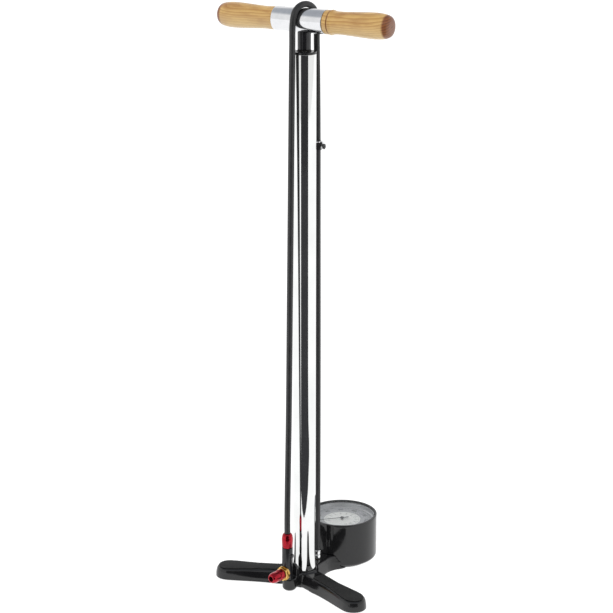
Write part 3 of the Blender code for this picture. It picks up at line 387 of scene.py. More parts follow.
fitted("base_casting_fine", base_mesh, enamel, "frame", ["base_casting"])

# ---- tread pads and feet --------------------------------------------------------------------
# Moulded rubber pads bonded into the tops of the front legs, with scattered pips for grip, and
# plain rubber feet pressed into the pockets underneath.
pad_rubber, tree, shader = started("moulded_rubber_tread", 0.7, IOR=1.4)
spot = add(tree, "ShaderNodeTexCoord").outputs["Object"]
# a grit of 1 mm from the mould, and scuffs of 14 mm that have gone grey
grit = add(tree, "ShaderNodeTexNoise", {"Vector": spot, "Scale": 900.0, "Detail": 3.0})
scuff = add(tree, "ShaderNodeTexNoise", {"Vector": spot, "Scale": 70.0, "Detail": 6.0})
dressed(tree, shader, (scuff, [(0.35, "121212"), (0.75, "232322")]),
        gloss=(scuff, 0.55, 0.85),
        relief=(grit, 0.35, 0.00015))


def node_group(name, sockets):
    """A Geometry Nodes tree with a geometry in and out, and named inputs of (type, value)."""
    group = bpy.data.node_groups.new(name, "GeometryNodeTree")
    face = group.interface
    face.new_socket("Geometry", in_out="INPUT", socket_type="NodeSocketGeometry")
    for label, (kind, value) in sockets.items():
        face.new_socket(label, in_out="INPUT", socket_type=kind).default_value = value
    face.new_socket("Geometry", in_out="OUTPUT", socket_type="NodeSocketGeometry")
    return group, add(group, "NodeGroupInput").outputs


def grown(mesh, group, values, material):
    """The plain mesh that a Geometry Nodes tree makes from a mesh, with its inputs set."""
    piece = temporary(mesh)
    change = piece.modifiers.new("grow", "NODES")
    change.node_group = group
    for item in group.interface.items_tree:
        if item.in_out == "INPUT" and item.name in values:
            change[item.identifier] = values[item.name]
    mesh = evaluated(piece)
    mesh.materials.clear()
    mesh.materials.append(material)
    return mesh


pips, ask = node_group("scattered_pips", {
    "Spacing": ("NodeSocketFloat", 0.0015), "Radius": ("NodeSocketFloat", 0.0006),
    "Seed": ("NodeSocketInt", 4)})
scatter = add(pips, "GeometryNodeDistributePointsOnFaces", {
    "Mesh": ask["Geometry"], "Distance Min": ask["Spacing"], "Density Max": 900000.0,
    "Seed": ask["Seed"]}, distribute_method="POISSON")
dome = add(pips, "GeometryNodeMeshUVSphere", {"Segments": 8, "Rings": 5, "Radius": ask["Radius"]})
low = add(pips, "GeometryNodeTransform", {"Geometry": dome, "Scale": (1.0, 1.0, 0.45)})
pip_set = add(pips, "GeometryNodeInstanceOnPoints", {"Points": scatter, "Instance": low})
real = add(pips, "GeometryNodeRealizeInstances", {"Geometry": pip_set})
done = add(pips, "GeometryNodeSetMaterial", {"Geometry": real, "Material": pad_rubber})
add(pips, "NodeGroupOutput", {"Geometry": done})

PAD_SINK = 0.00022
PAD_MARGIN = 0.0011
PAD_EASING = 0.0004
for side in ("left", "right"):
    pad = cad_copy(f"tread_pad_{side}")
    bmesh.ops.dissolve_limit(pad, angle_limit=radians(3), verts=pad.verts, edges=pad.edges)
    top = bmesh.new()
    crown = max(pad.faces, key=lambda f: f.normal.z * f.calc_area())
    inner = crown.calc_center_median()
    top.faces.new([top.verts.new(v.co + (inner - v.co).normalized() * PAD_MARGIN
                                 - Vector((0, 0, PAD_SINK))) for v in crown.verts])
    bmesh.ops.triangulate(top, faces=top.faces)
    bmesh.ops.bevel(pad, geom=list(crown.edges), offset=PAD_EASING, segments=3, affect="EDGES",
                    profile=0.5)
    for vert in pad.verts:
        vert.co.z -= PAD_SINK * 0.6 if vert.normal.z > 0.5 else 0.0
    bmesh.ops.triangulate(pad, faces=[f for f in pad.faces if len(f.verts) > 4])
    fitted(f"tread_pad_fine_{side}", smoothed(pad), pad_rubber, "frame", [f"tread_pad_{side}"])
    pip_mesh = grown(smoothed(top), pips, {"Spacing": 0.0014, "Radius": 0.00052,
                                           "Seed": 4 if side == "left" else 9}, pad_rubber)
    pip_mesh.shade_smooth()
    fitted(f"tread_pips_{side}", pip_mesh, pad_rubber, "frame")


def refinish(material, *names):
    """The CAD node's own shape, in a finished material."""
    for name in names:
        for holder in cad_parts[name].material_slots:
            holder.material = material


refinish(pad_rubber, "foot_left", "foot_right", "foot_back", "barrel_gasket", "rod_wiper",
         "top_bumper", "piston_seal", "chuck_gland")


# ---- barrel ---------------------------------------------------------------------------------
# Seamless steel tube, ground, polished and chromed to a mirror. It stands in the hub's bore.
def lathe(profile, sides, shape=None):
    """A bmesh turned about Z from (radius, height) points: axis to axis, or a closed ring.

    shape(radius, height, turn) may change the radius round the piece.
    """
    bm = bmesh.new()
    closed = profile[0][0] > 0 or profile[-1][0] > 0
    rows = []
    for radius, z in profile:
        row = []
        for k in range(sides):
            turn = 2 * pi * k / sides
            r = shape(radius, z, turn) if shape else radius
            row.append(bm.verts.new((r * cos(turn), r * sin(turn), z)))
        rows.append(row)
    pairs = list(zip(rows, rows[1:])) + ([(rows[-1], rows[0])] if closed else [])
    for low_row, high_row in pairs:
        for k in range(sides):
            n = (k + 1) % sides
            bm.faces.new((low_row[k], low_row[n], high_row[n], high_row[k]))
    bmesh.ops.remove_doubles(bm, verts=bm.verts, dist=1e-7)
    bmesh.ops.dissolve_degenerate(bm, edges=bm.edges, dist=1e-8)
    bmesh.ops.recalc_face_normals(bm, faces=bm.faces)
    return bm


def eased(points, radius, steps=3, closed=False):
    """The same outline with its corners rounded."""
    line = []
    count = len(points)
    for i, point in enumerate(points):
        if not closed and i in (0, count - 1):
            line.append(point)
            continue
        at = Vector(point)
        back = Vector(points[i - 1]) - at
        on = Vector(points[(i + 1) % count]) - at
        reach = min(radius, 0.45 * back.length, 0.45 * on.length)
        start = at + back.normalized() * reach
        end = at + on.normalized() * reach
        for k in range(steps + 1):
            t = k / steps
            q = start * (1 - t) ** 2 + at * (2 * t * (1 - t)) + end * t * t
            line.append((q.x, q.y))
    return line


def hoop(inner, outer, low_z, high_z, easing, sides, steps=3):
    """A turned ring of rectangular section, its corners rounded."""
    return lathe(eased([(inner, low_z), (outer, low_z), (outer, high_z), (inner, high_z)], easing,
                       steps, closed=True), sides)


def moved(bm, place_at=(0, 0, 0), turn=None):
    """The same bmesh, turned and then set in its place."""
    matrix = Matrix.Translation(place_at)
    if turn:
        matrix = matrix @ turn
    bm.transform(matrix)
    return bm


BARREL_SIDES = 128
low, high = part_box("barrel_tube")
BARREL_R = 0.0139
BARREL_BORE = 0.0127
# chrome over polished steel: a mirror that a little haze softens in patches
chrome, tree, shader = started("polished_chrome_plate", 0.035, 1.0)
spot = add(tree, "ShaderNodeTexCoord").outputs["Object"]
# its polishing marks run round the tube 0.4 mm apart, far coarser than the real ones, to show
marks = add(tree, "ShaderNodeTexNoise", {"Vector": add(tree, "ShaderNodeMapping", {
    "Vector": spot, "Scale": (40, 40, 2500)}), "Scale": 1.0, "Detail": 3.0})
haze = add(tree, "ShaderNodeTexNoise", {"Vector": spot, "Scale": 30.0, "Detail": 6.0})
dressed(tree, shader, (haze, [(0.3, "e2e3e2"), (0.8, "eeefee")]),
        gloss=(haze, 0.025, 0.07, 0.3, 0.8),
        relief=(marks, 0.02, 0.00005))
barrel = hoop(BARREL_BORE, BARREL_R, low.z, high.z, 0.0003, BARREL_SIDES)
fitted("barrel_tube_fine", smoothed(barrel), chrome, "frame", ["barrel_tube"])

# bright steel: plated wire, balls, nuts and screws, lightly brushed, with streaks of 0.7 mm
bright_steel, tree, shader = started("bright_plated_steel", 0.2, 1.0)
spot = add(tree, "ShaderNodeTexCoord").outputs["Object"]
turned_lines = add(tree, "ShaderNodeTexNoise", {"Vector": spot, "Scale": 1400.0, "Detail": 2.0})
dressed(tree, shader, (turned_lines, [(0.3, "c9cac9"), (0.7, "dcdddc")]),
        gloss=(turned_lines, 0.14, 0.28),
        relief=(turned_lines, 0.1, 0.00004))
refinish(bright_steel, "check_ball", "handle_bolt", "piston_washer", "piston_nut",
         "needle_arbor", "gauge_screw_1", "gauge_screw_2", "gauge_screw_3")

# ---- valve and bleed springs ----------------------------------------------------------------
# Coils of bright spring wire, one under the check ball and one behind the bleed button.
for spring_name, pressed_by, along in (("valve_spring", "valve_ball", 2),
                                       ("bleed_spring", "bleed_valve", 0)):
    low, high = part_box(spring_name)
    first_coil, last_coil = (low + high) / 2, (low + high) / 2
    first_coil[along], last_coil[along] = low[along], high[along]
    spring = shown(spring_name + "_fine", smoothed(cad_copy(spring_name)), bright_steel)
    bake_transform(spring)
    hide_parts(spring_name)

# ---- brass and bronze fittings --------------------------------------------------------------
# Free-cutting brass, turned and left bare, so that it has gone a little dull; the bush on the
# rod is sintered bronze, darker and full of oil.
brass, tree, shader = started("turned_brass", 0.26, 1.0)
spot = add(tree, "ShaderNodeTexCoord").outputs["Object"]
# the dull patches are 4 mm across, and the tool's cuts 0.2 mm apart
tarnish = add(tree, "ShaderNodeTexNoise", {"Vector": spot, "Scale": 260.0, "Detail": 6.0})
cuts = add(tree, "ShaderNodeTexNoise", {"Vector": add(tree, "ShaderNodeMapping", {
    "Vector": spot, "Rotation": (0, 0, radians(-10)), "Scale": (120, 6000, 120)}),
    "Scale": 1.0, "Detail": 2.0})
dressed(tree, shader, (tarnish, [(0.3, "c39848"), (0.55, "dcb266"), (0.8, "ecc98a")]),
        gloss=(tarnish, 0.18, 0.40),
        relief=(cuts, 0.12, 0.00006))
refinish(brass, "valve_body", "hose_fitting", "dock_peg", "gauge_socket", "bourdon_tube",
         "gauge_movement", "flip_insert")
bronze, tree, shader = started("sintered_bronze", 0.4, 1.0)
# grains 0.4 mm across, a few times the real ones, to show
pores = add(tree, "ShaderNodeTexVoronoi", {
    "Vector": add(tree, "ShaderNodeTexCoord").outputs["Object"], "Scale": 2500.0})
dressed(tree, shader, (pores, [(0.1, "5c4323"), (0.6, "94703d")]),
        relief=(pores, 0.2, 0.00005))
refinish(bronze, "rod_bush")

# ---- barrel cap, rod and handle stem --------------------------------------------------------
# The cap, the stem and the chuck are aluminium, turned and anodised black: a dark satin skin
# with a metal's glint. The rod is ground and chromed like the barrel.
# black anodising over turning marks of 0.3 mm: satin, with the light drawn out round the piece
anodised, tree, shader = started("black_anodised_aluminium", 0.22, 0.35, IOR=1.6)
spot = add(tree, "ShaderNodeTexCoord").outputs["Object"]
tooling = add(tree, "ShaderNodeTexNoise", {"Vector": add(tree, "ShaderNodeMapping", {
    "Vector": spot, "Scale": (60, 60, 3500)}), "Scale": 1.0, "Detail": 3.0})
blush = add(tree, "ShaderNodeTexNoise", {"Vector": spot, "Scale": 120.0, "Detail": 5.0})
dressed(tree, shader, (blush, [(0.3, "151517"), (0.8, "242427")]),
        gloss=(tooling, 0.14, 0.32),
        relief=(tooling, 0.06, 0.00005))
low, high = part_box("barrel_cap")
CAP_R = high.x
CAP_T = 0.0025
CAP_BORE = 0.0090
BUSH_SEAT = low.z + 0.0020
CAP_LIP = 0.0070
CAP_SPIGOT = 0.0124
cap = lathe(eased([(CAP_LIP, low.z), (CAP_SPIGOT, low.z), (CAP_SPIGOT, high.z - CAP_T),
                   (CAP_R, high.z - CAP_T), (CAP_R, high.z), (CAP_BORE, high.z),
                   (CAP_BORE, BUSH_SEAT), (CAP_LIP, BUSH_SEAT)], 0.0005, closed=True), 96)
fitted("barrel_cap_fine", smoothed(cap), anodised, "frame", ["barrel_cap"])

low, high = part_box("stem_bumper")
STEM_R = high.x
ROD_R = 0.0050
GAP = 0.0003
bumper = hoop(ROD_R + GAP, STEM_R, low.z, high.z, 0.0004, 64)
fitted("stem_bumper_fine", smoothed(bumper), pad_rubber, "plunger", ["stem_bumper"])

SIDES = 96
rod_low, rod_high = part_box("piston_rod")
STUD_R = 0.0030
SHOULDER_Z = 0.0463
TAP_R = 0.0029
TAP_FLOOR = rod_high.z - 0.0160
rod = lathe(eased([(0, rod_low.z), (STUD_R, rod_low.z), (STUD_R, SHOULDER_Z), (ROD_R, SHOULDER_Z),
                   (ROD_R, rod_high.z), (TAP_R, rod_high.z), (TAP_R, TAP_FLOOR), (0, TAP_FLOOR)],
                  0.0003), SIDES)
fitted("piston_rod_fine", smoothed(rod), chrome, "plunger", ["piston_rod"])


def carved(bm, tools):
    """A mesh with the tools' shapes cut from it."""
    piece = temporary(smoothed(bm))
    helpers = []
    for tool in tools:
        helper = temporary(smoothed(tool))
        change = piece.modifiers.new("carve", "BOOLEAN")
        change.operation = "DIFFERENCE"
        change.solver = "EXACT"
        change.object = helper
        helpers.append(helper)
    mesh = evaluated(piece)
    for helper in helpers:
        bpy.data.objects.remove(helper, do_unlink=True)
    mesh.shade_smooth()
    mesh.set_sharp_from_angle(angle=radians(35))
    return mesh


def plug(radius, low_z, high_z, sides=SIDES):
    """A turned cutting tool, its facets set off from those of the piece that it cuts."""
    return moved(lathe([(0, low_z), (radius, low_z), (radius, high_z), (0, high_z)], sides),
                 turn=Matrix.Rotation(radians(1.3), 4, "Z"))


TO_X = Matrix.Rotation(radians(90), 4, "Y")
low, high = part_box("handle_stem")
sleeve_low, sleeve_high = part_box("handle_sleeve")
HANDLE_Z = (sleeve_low.z + sleeve_high.z) / 2
SLEEVE_R = (sleeve_high.z - sleeve_low.z) / 2
BOLT_BORE = 0.0029
STEM_BORE_TOP = low.z + 0.0135
STEM_TOP = HANDLE_Z - 0.002
CUT_LENGTH = 0.02
stem = lathe(eased([(ROD_R + GAP, low.z), (STEM_R, low.z), (STEM_R, STEM_TOP),
                    (BOLT_BORE, STEM_TOP), (BOLT_BORE, STEM_BORE_TOP),
                    (ROD_R + GAP, STEM_BORE_TOP)], 0.0005, closed=True), SIDES)
stem_mesh = carved(stem, [moved(plug(SLEEVE_R + GAP, -CUT_LENGTH, CUT_LENGTH, 128),
                                (0, 0, HANDLE_Z), TO_X)])
fitted("handle_stem_fine", stem_mesh, anodised, "plunger", ["handle_stem"])

# ---- handle sleeve --------------------------------------------------------------------------
# Aluminium tube, polished on a lathe, that joins the two grips. The stem's saddle holds it.
# polished aluminium: bright, but softer than chrome, with strokes 0.3 mm wide round the tube
polished, tree, shader = started("lathe_polished_aluminium", 0.12, 1.0)
spot = add(tree, "ShaderNodeTexCoord").outputs["Object"]
strokes = add(tree, "ShaderNodeTexNoise", {"Vector": add(tree, "ShaderNodeMapping", {
    "Vector": spot, "Scale": (3200, 45, 45)}), "Scale": 1.0, "Detail": 4.0})
smears = add(tree, "ShaderNodeTexNoise", {"Vector": spot, "Scale": 85.0, "Detail": 7.0,
                                          "Roughness": 0.6})
both = add(tree, "ShaderNodeMath", {0: strokes, 1: smears}, operation="MULTIPLY")
dressed(tree, shader, (smears, [(0.3, "d9dadc"), (0.75, "e6e6e8")]),
        gloss=(both, 0.07, 0.22, 0.1, 0.5),
        relief=(strokes, 0.08, 0.00004))
SLEEVE_BORE = 0.0105
sleeve = moved(hoop(SLEEVE_BORE, SLEEVE_R, sleeve_low.x, sleeve_high.x, 0.0005, 128),
               (0, 0, HANDLE_Z), TO_X)
sleeve_mesh = carved(sleeve, [moved(plug(BOLT_BORE, 0, CUT_LENGTH, 48), (0, 0, HANDLE_Z),
                                    Matrix.Rotation(pi, 4, "X"))])
fitted("handle_sleeve_fine", sleeve_mesh, polished, "plunger", ["handle_sleeve"])

# ---- wooden grips ---------------------------------------------------------------------------
# Ash, turned between centres and varnished. The flat-sawn face shows long arches of grain, the
# soft end grain has soaked up varnish and gone red brown, and the lathe's centre has left a dot.
grain_wood, tree, shader = started("varnished_ash", 0.3, IOR=1.45, Coat_Weight=0.3,
                                   Coat_Roughness=0.12, Coat_IOR=1.5)
spot = add(tree, "ShaderNodeTexCoord").outputs["Object"]
sway = add(tree, "ShaderNodeTexNoise", {"Vector": add(tree, "ShaderNodeMapping", {
    "Vector": spot, "Scale": (11, 38, 38)}), "Scale": 1.0, "Detail": 2.0})
shift = add(tree, "ShaderNodeVectorMath", {0: sway.outputs["Color"], 1: (0.006, 0.006, 0.010)},
            operation="MULTIPLY")
bent = add(tree, "ShaderNodeVectorMath", {0: spot, 1: shift}, operation="ADD")
# yearly rings 3 mm apart that bow along the log, so on the top of each grip they close in loops
LOOP_X = 0.066
LOOP_BOW = 1.3
parts = add(tree, "ShaderNodeSeparateXYZ", {"Vector": spot})
bent_parts = add(tree, "ShaderNodeSeparateXYZ", {"Vector": bent})
reach = add(tree, "ShaderNodeMath", {0: parts.outputs["X"]}, operation="ABSOLUTE")
from_loop = add(tree, "ShaderNodeMath", {0: reach, 1: LOOP_X}, operation="SUBTRACT")
squared = add(tree, "ShaderNodeMath", {0: from_loop, 1: 2.0}, operation="POWER")
bow = add(tree, "ShaderNodeMath", {0: squared, 1: -LOOP_BOW,
                                   2: bent_parts.outputs["Z"]}, operation="MULTIPLY_ADD")
lean = add(tree, "ShaderNodeMath", {0: bent_parts.outputs["Y"], 1: -0.35,
                                    2: bow}, operation="MULTIPLY_ADD")
rings = add(tree, "ShaderNodeTexWave", {
    "Vector": add(tree, "ShaderNodeCombineXYZ", {"Z": lean}),
    "Scale": 105.0, "Distortion": 0.0}, bands_direction="Z", wave_profile="SAW")
fibres = add(tree, "ShaderNodeTexNoise", {"Vector": add(tree, "ShaderNodeMapping", {
    "Vector": spot, "Scale": (90, 2600, 2600)}), "Scale": 1.0, "Detail": 4.0})
tones = add(tree, "ShaderNodeValToRGB", {"Fac": rings.outputs["Fac"]}, stops=[
    (0.0, "c5a160"), (0.5, "b99455"), (0.85, "a98144"), (0.97, "926733"), (1.0, "ad864b")])
streaks = add(tree, "ShaderNodeMapRange", {"Value": fibres, "From Min": 0.35,
                                           "From Max": 0.7, "To Min": 0.0, "To Max": 0.25})
clouds = add(tree, "ShaderNodeTexNoise", {"Vector": add(tree, "ShaderNodeMapping", {
    "Vector": bent, "Scale": (34, 95, 95)}), "Scale": 1.0, "Detail": 3.0})
figure_share = add(tree, "ShaderNodeMapRange", {"Value": clouds, "From Min": 0.42,
                                                "From Max": 0.68, "To Min": 0.0, "To Max": 0.8})
figured = add(tree, "ShaderNodeMix", {0: figure_share, 6: tones, 7: shade("91622f")},
              data_type="RGBA")
# painted reflection: the grips are painted paler towards their underside, standing in for the pale
# floor's reflection in the varnish
depth = add(tree, "ShaderNodeMapRange", {"Value": bent_parts.outputs["Z"],
                                         "From Min": HANDLE_Z - 0.012,
                                         "From Max": HANDLE_Z + 0.009,
                                         "To Min": 0.7, "To Max": 0.0})
figured = add(tree, "ShaderNodeMix", {0: depth, 6: figured.outputs[2],
                                      7: shade("d3bd8e")}, data_type="RGBA")
honey = add(tree, "ShaderNodeMix", {0: streaks, 6: figured.outputs[2],
                                    7: shade("98713f")}, data_type="RGBA")
END_GRAIN_X = 0.1052
soaked = add(tree, "ShaderNodeMapRange", {"Value": reach,
                                          "From Min": END_GRAIN_X, "From Max": END_GRAIN_X + 0.0022,
                                          "To Min": 0.0, "To Max": 0.88})
end_tones = add(tree, "ShaderNodeValToRGB", {"Fac": rings.outputs["Fac"]}, stops=[
    (0.0, "7b3d1d"), (0.6, "672f14"), (1.0, "4c200b")])
ends = add(tree, "ShaderNodeMix", {0: soaked, 6: honey.outputs[2], 7: end_tones},
           data_type="RGBA")
off_axis = add(tree, "ShaderNodeVectorMath", {0: add(tree, "ShaderNodeCombineXYZ", {
    "Y": parts.outputs["Y"], "Z": add(tree, "ShaderNodeMath", {
        0: parts.outputs["Z"], 1: HANDLE_Z}, operation="SUBTRACT")})}, operation="LENGTH")
dot = add(tree, "ShaderNodeMapRange", {"Value": off_axis.outputs["Value"], "From Min": 0.0007,
                                       "From Max": 0.0013, "To Min": 0.85, "To Max": 0.0})
centred = add(tree, "ShaderNodeMix", {0: dot, 6: ends.outputs[2],
                                      7: shade("2e1a10")}, data_type="RGBA")
# a line burnt into the wood where the collar meets the right grip
SEAM_X = 0.0363
SEAM_HALF = 0.0010
from_seam = add(tree, "ShaderNodeMath", {0: add(tree, "ShaderNodeMath", {
    0: parts.outputs["X"], 1: SEAM_X}, operation="SUBTRACT")}, operation="ABSOLUTE")
burnt = add(tree, "ShaderNodeMapRange", {"Value": from_seam,
                                         "From Min": SEAM_HALF * 0.6, "From Max": SEAM_HALF * 1.4,
                                         "To Min": 0.85, "To Max": 0.0})
wood_colour = add(tree, "ShaderNodeMix", {0: burnt, 6: centred.outputs[2],
                                          7: shade("70401f")}, data_type="RGBA")
tree.links.new(wood_colour.outputs[2], shader.inputs["Base Color"])
dressed(tree, shader, gloss=(fibres, 0.22, 0.42), relief=(fibres, 0.12, 0.00008))

GRIP_END = 0.1123
TENON_R = SLEEVE_BORE - GAP
TENON_START = 0.0110
TENON_EDGE = 0.0006
GRIP_CROWN = 0.0002
# the share of the grip's length, and its radius there
GRIP_MARKS = [(0.060, 0.0132), (0.170, 0.0129), (0.330, 0.0134), (0.520, 0.0142), (0.680, 0.0147),
              (0.800, 0.0146), (0.890, 0.0138), (0.950, 0.0125), (0.985, 0.0106), (1.000, 0.0080)]


def grip(start, shoulder):
    """A grip turned about Z, from its tenon to its rounded end."""
    span = GRIP_END - start
    knots = [(shoulder, start, 0), (shoulder + 0.0002, start + 0.010 * span, 0)]
    knots += [(r, start + span * t, 0) for t, r in GRIP_MARKS]
    skin = [(p.x, p.y) for p in through(knots, 4)]
    end = [(0.0060, GRIP_END + 0.6 * GRIP_CROWN), (0.0030, GRIP_END + GRIP_CROWN),
           (0, GRIP_END + GRIP_CROWN)]
    return lathe([(0, TENON_START), (TENON_R - TENON_EDGE, TENON_START),
                  (TENON_R, TENON_START + TENON_EDGE), (TENON_R, start),
                  (shoulder - TENON_EDGE, start)] + skin[1:] + end, SIDES)


LEFT_SHOULDER = 0.0130
RIGHT_SHOULDER = 0.0141
WOOD_COLLAR_R = 0.0137
COLLAR_WIDTH = 0.0065
COLLAR_START = sleeve_high.x + GAP
COLLAR_END = COLLAR_START + COLLAR_WIDTH
left_grip = moved(grip(-sleeve_low.x + GAP, LEFT_SHOULDER), (0, 0, HANDLE_Z),
                  Matrix.Rotation(radians(-90), 4, "Y"))
right_grip = moved(grip(COLLAR_END + GAP, RIGHT_SHOULDER), (0, 0, HANDLE_Z), TO_X)
wood_collar = moved(lathe(eased([
    (TENON_R + GAP, COLLAR_START), (WOOD_COLLAR_R - 0.0004, COLLAR_START),
    (WOOD_COLLAR_R, COLLAR_START + 0.0008), (WOOD_COLLAR_R, COLLAR_END - 0.0014),
    (WOOD_COLLAR_R - 0.0007, COLLAR_END), (TENON_R + GAP, COLLAR_END)], 0.0005,
    closed=True), SIDES), (0, 0, HANDLE_Z), TO_X)
for name, bm in (("grip_left", left_grip), ("grip_right", right_grip),
                 ("grip_collar", wood_collar)):
    fitted(name + "_fine", smoothed(bm), grain_wood, "plunger", [name])

# ---- hose ferrule and clip ------------------------------------------------------------------
# The ferrule is turned steel, plated and rolled on to the hose. The clip halfway up is a rubber
# ring in an aluminium band, held by a low black screw.
low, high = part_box("hose_ferrule")
FERRULE_Y = (low.y + high.y) / 2
FERRULE_R = 0.0043
FERRULE_BORE = 0.0015
FERRULE_WAIST = low.z + 0.0058
WAIST_DEPTH = 0.0006
LIP = 0.0004
ferrule = moved(lathe(eased([
    (FERRULE_BORE, low.z), (FERRULE_R, low.z), (FERRULE_R, FERRULE_WAIST - 0.0005),
    (FERRULE_R - WAIST_DEPTH, FERRULE_WAIST), (FERRULE_R - WAIST_DEPTH, FERRULE_WAIST + 0.0004),
    (FERRULE_R, FERRULE_WAIST + 0.0009), (FERRULE_R, high.z - 0.0018),
    (FERRULE_R + LIP, high.z - 0.0014), (FERRULE_R + LIP, high.z - 0.0004),
    (FERRULE_R - 0.0003, high.z), (FERRULE_BORE, high.z)], 0.0003, closed=True), 64),
    (0, FERRULE_Y, 0))
fitted("hose_ferrule_fine", smoothed(ferrule), chrome, "frame", ["hose_ferrule"])

low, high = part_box("hose_clip")
CLIP_X = (low.x + high.x) / 2
CLIP_Y = (low.y + high.y) / 2
CLIP_R = (high.x - low.x) / 2
CLIP_WALL = 0.0012
clip = moved(hoop(CLIP_R - CLIP_WALL, CLIP_R, low.z, high.z, 0.0005, 48), (CLIP_X, CLIP_Y, 0))
fitted("hose_clip_fine", smoothed(clip), pad_rubber, "plunger", ["hose_clip"])
refinish(polished, "clip_band")
low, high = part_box("clip_screw")
SCREW_R = (high.y - low.y) / 2
SCREW_T = high.x - low.x
NECK_R = 0.0013
HEAD_T = 0.0009
SCREW_Y = (low.y + high.y) / 2
SCREW_Z = (low.z + high.z) / 2
screw = moved(lathe(eased([(0, 0), (NECK_R, 0), (NECK_R, SCREW_T - HEAD_T),
                           (SCREW_R, SCREW_T - HEAD_T), (SCREW_R, SCREW_T), (0, SCREW_T)],
                          0.0003), 48), (low.x, SCREW_Y, SCREW_Z), TO_X)
SLOT_WIDTH = 0.0008
SLOT_DEPTH = 0.0004
slot_cut = bmesh.new()
bmesh.ops.create_cube(slot_cut, size=1)
bmesh.ops.scale(slot_cut, vec=(2 * SLOT_DEPTH, CUT_LENGTH, SLOT_WIDTH), verts=slot_cut.verts)
moved(slot_cut, (high.x, SCREW_Y, SCREW_Z), Matrix.Rotation(radians(20), 4, "X"))
fitted("clip_screw_fine", carved(screw, [slot_cut]), anodised, "plunger", ["clip_screw"])

# ---- chuck ----------------------------------------------------------------------------------
# The chuck hangs on a peg at the front of the hub: a domed red collar on the hose, a black body
# with a bleed button, a hexagon-nosed brass ring, and a red head that screws on to the valve.
low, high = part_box("chuck_body")
CHUCK_Y = (low.y + high.y) / 2
CHUCK_R = 0.0065
PEG_BORE = 0.0031
PEG_ROOF = 0.0230
HEAD_Z = 0.0287
HEAD_TURN = radians(10)
HEAD_AXIS = Matrix.Rotation(-HEAD_TURN, 4, "Z") @ Matrix.Rotation(radians(90), 4, "X")
RING_R = 0.0087
RING_START = 0.0048
RING_T = 0.0058
BUTTON_Z = 0.0505
BUTTON_BORE = 0.0028
BUTTON_SEAT = 0.0030
body = moved(lathe(eased([(0, PEG_ROOF), (PEG_BORE, PEG_ROOF), (PEG_BORE, low.z),
                          (CHUCK_R, low.z), (CHUCK_R, high.z), (0, high.z)], 0.0006), SIDES),
             (0, CHUCK_Y, 0))
body_mesh = carved(body, [
    moved(plug(RING_R + GAP, RING_START - GAP, CUT_LENGTH, 64), (0, CHUCK_Y, HEAD_Z), HEAD_AXIS),
    moved(plug(BUTTON_BORE, BUTTON_SEAT, CUT_LENGTH, 48), (0, CHUCK_Y, BUTTON_Z), TO_X)])
fitted("chuck_body_fine", body_mesh, anodised, "frame", ["chuck_body"])
refinish(anodised, "bleed_button")

# red anodising: clear red dye over bright metal, deeper where the tool marks hold more of it
red_anodised, tree, shader = started("red_anodised_aluminium", 0.2, 0.95, Coat_Weight=0.3,
                                     Coat_Roughness=0.1)
spot = add(tree, "ShaderNodeTexCoord").outputs["Object"]
# the dye clouds over 3 mm, and the tool marks are 0.24 mm apart
dye = add(tree, "ShaderNodeTexNoise", {"Vector": spot, "Scale": 380.0, "Detail": 4.0})
tool_marks = add(tree, "ShaderNodeTexNoise", {"Vector": add(tree, "ShaderNodeMapping", {
    "Vector": spot, "Scale": (150, 150, 4200)}), "Scale": 1.0, "Detail": 2.0})
dressed(tree, shader, (dye, [(0.3, "8e0a1c"), (0.75, "b8142a")]),
        gloss=(tool_marks, 0.12, 0.30),
        relief=(tool_marks, 0.08, 0.00005))
low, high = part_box("chuck_collar")
COLLAR_R = 0.0069
COLLAR_BORE = 0.0015
DOME_H = 0.0080
DOME_STEPS = 8
DOME_TOP_R = HOSE_R + GAP
dome_line = [(DOME_TOP_R + (COLLAR_R - DOME_TOP_R) * sin(pi / 2 * i / DOME_STEPS),
              high.z - DOME_H * (1 - cos(pi / 2 * i / DOME_STEPS)))
             for i in range(DOME_STEPS, -1, -1)]
collar_profile = [(COLLAR_BORE, low.z), (COLLAR_R - 0.0009, low.z),
                  (COLLAR_R - 0.0005, low.z + 0.0008), (COLLAR_R - 0.0004, low.z + 0.0030),
                  (COLLAR_R - 0.0002, low.z + 0.0060)] + dome_line + [(COLLAR_BORE, high.z)]
FLUTE_DEPTH = 0.0001
FLUTED_PAST = 0.0062


def fluted(radius, z, turn):
    """Twelve shallow flutes up the collar's side, which die out into its dome."""
    if radius < FLUTED_PAST:
        return radius
    return radius - FLUTE_DEPTH * (1 + cos(12 * turn)) / 2


collar = moved(lathe(eased(collar_profile, 0.0003, 2, closed=True), 144, fluted), (0, CHUCK_Y, 0))
fitted("chuck_collar_fine", smoothed(collar), red_anodised, "frame", ["chuck_collar"])


def six_sided(apothem, start, radius, z, turn):
    """A radius held inside a hexagon from a height on, unless it's a bore's."""
    if z < start or radius < apothem / 2:
        return radius
    off = (turn + radians(15)) % radians(60) - radians(30)
    return min(radius, apothem / cos(off))


RING_BORE = 0.0030
RING_FLATS = 0.0077
ROUND_T = 0.0026
ring_face = RING_START + RING_T
ring = lathe(eased([(RING_BORE, RING_START), (RING_R, RING_START), (RING_R, RING_START + ROUND_T),
                    (RING_R, RING_START + ROUND_T + 0.0004), (RING_R, ring_face - 0.0010),
                    (RING_R - 0.0007, ring_face), (RING_BORE, ring_face)], 0.0003, closed=True),
             144, lambda r, z, t: six_sided(RING_FLATS, RING_START + ROUND_T + 0.0003, r, z, t))
moved(ring, (0, CHUCK_Y, HEAD_Z), HEAD_AXIS)
fitted("chuck_ring_fine", smoothed(ring), brass, "frame", ["chuck_ring"])

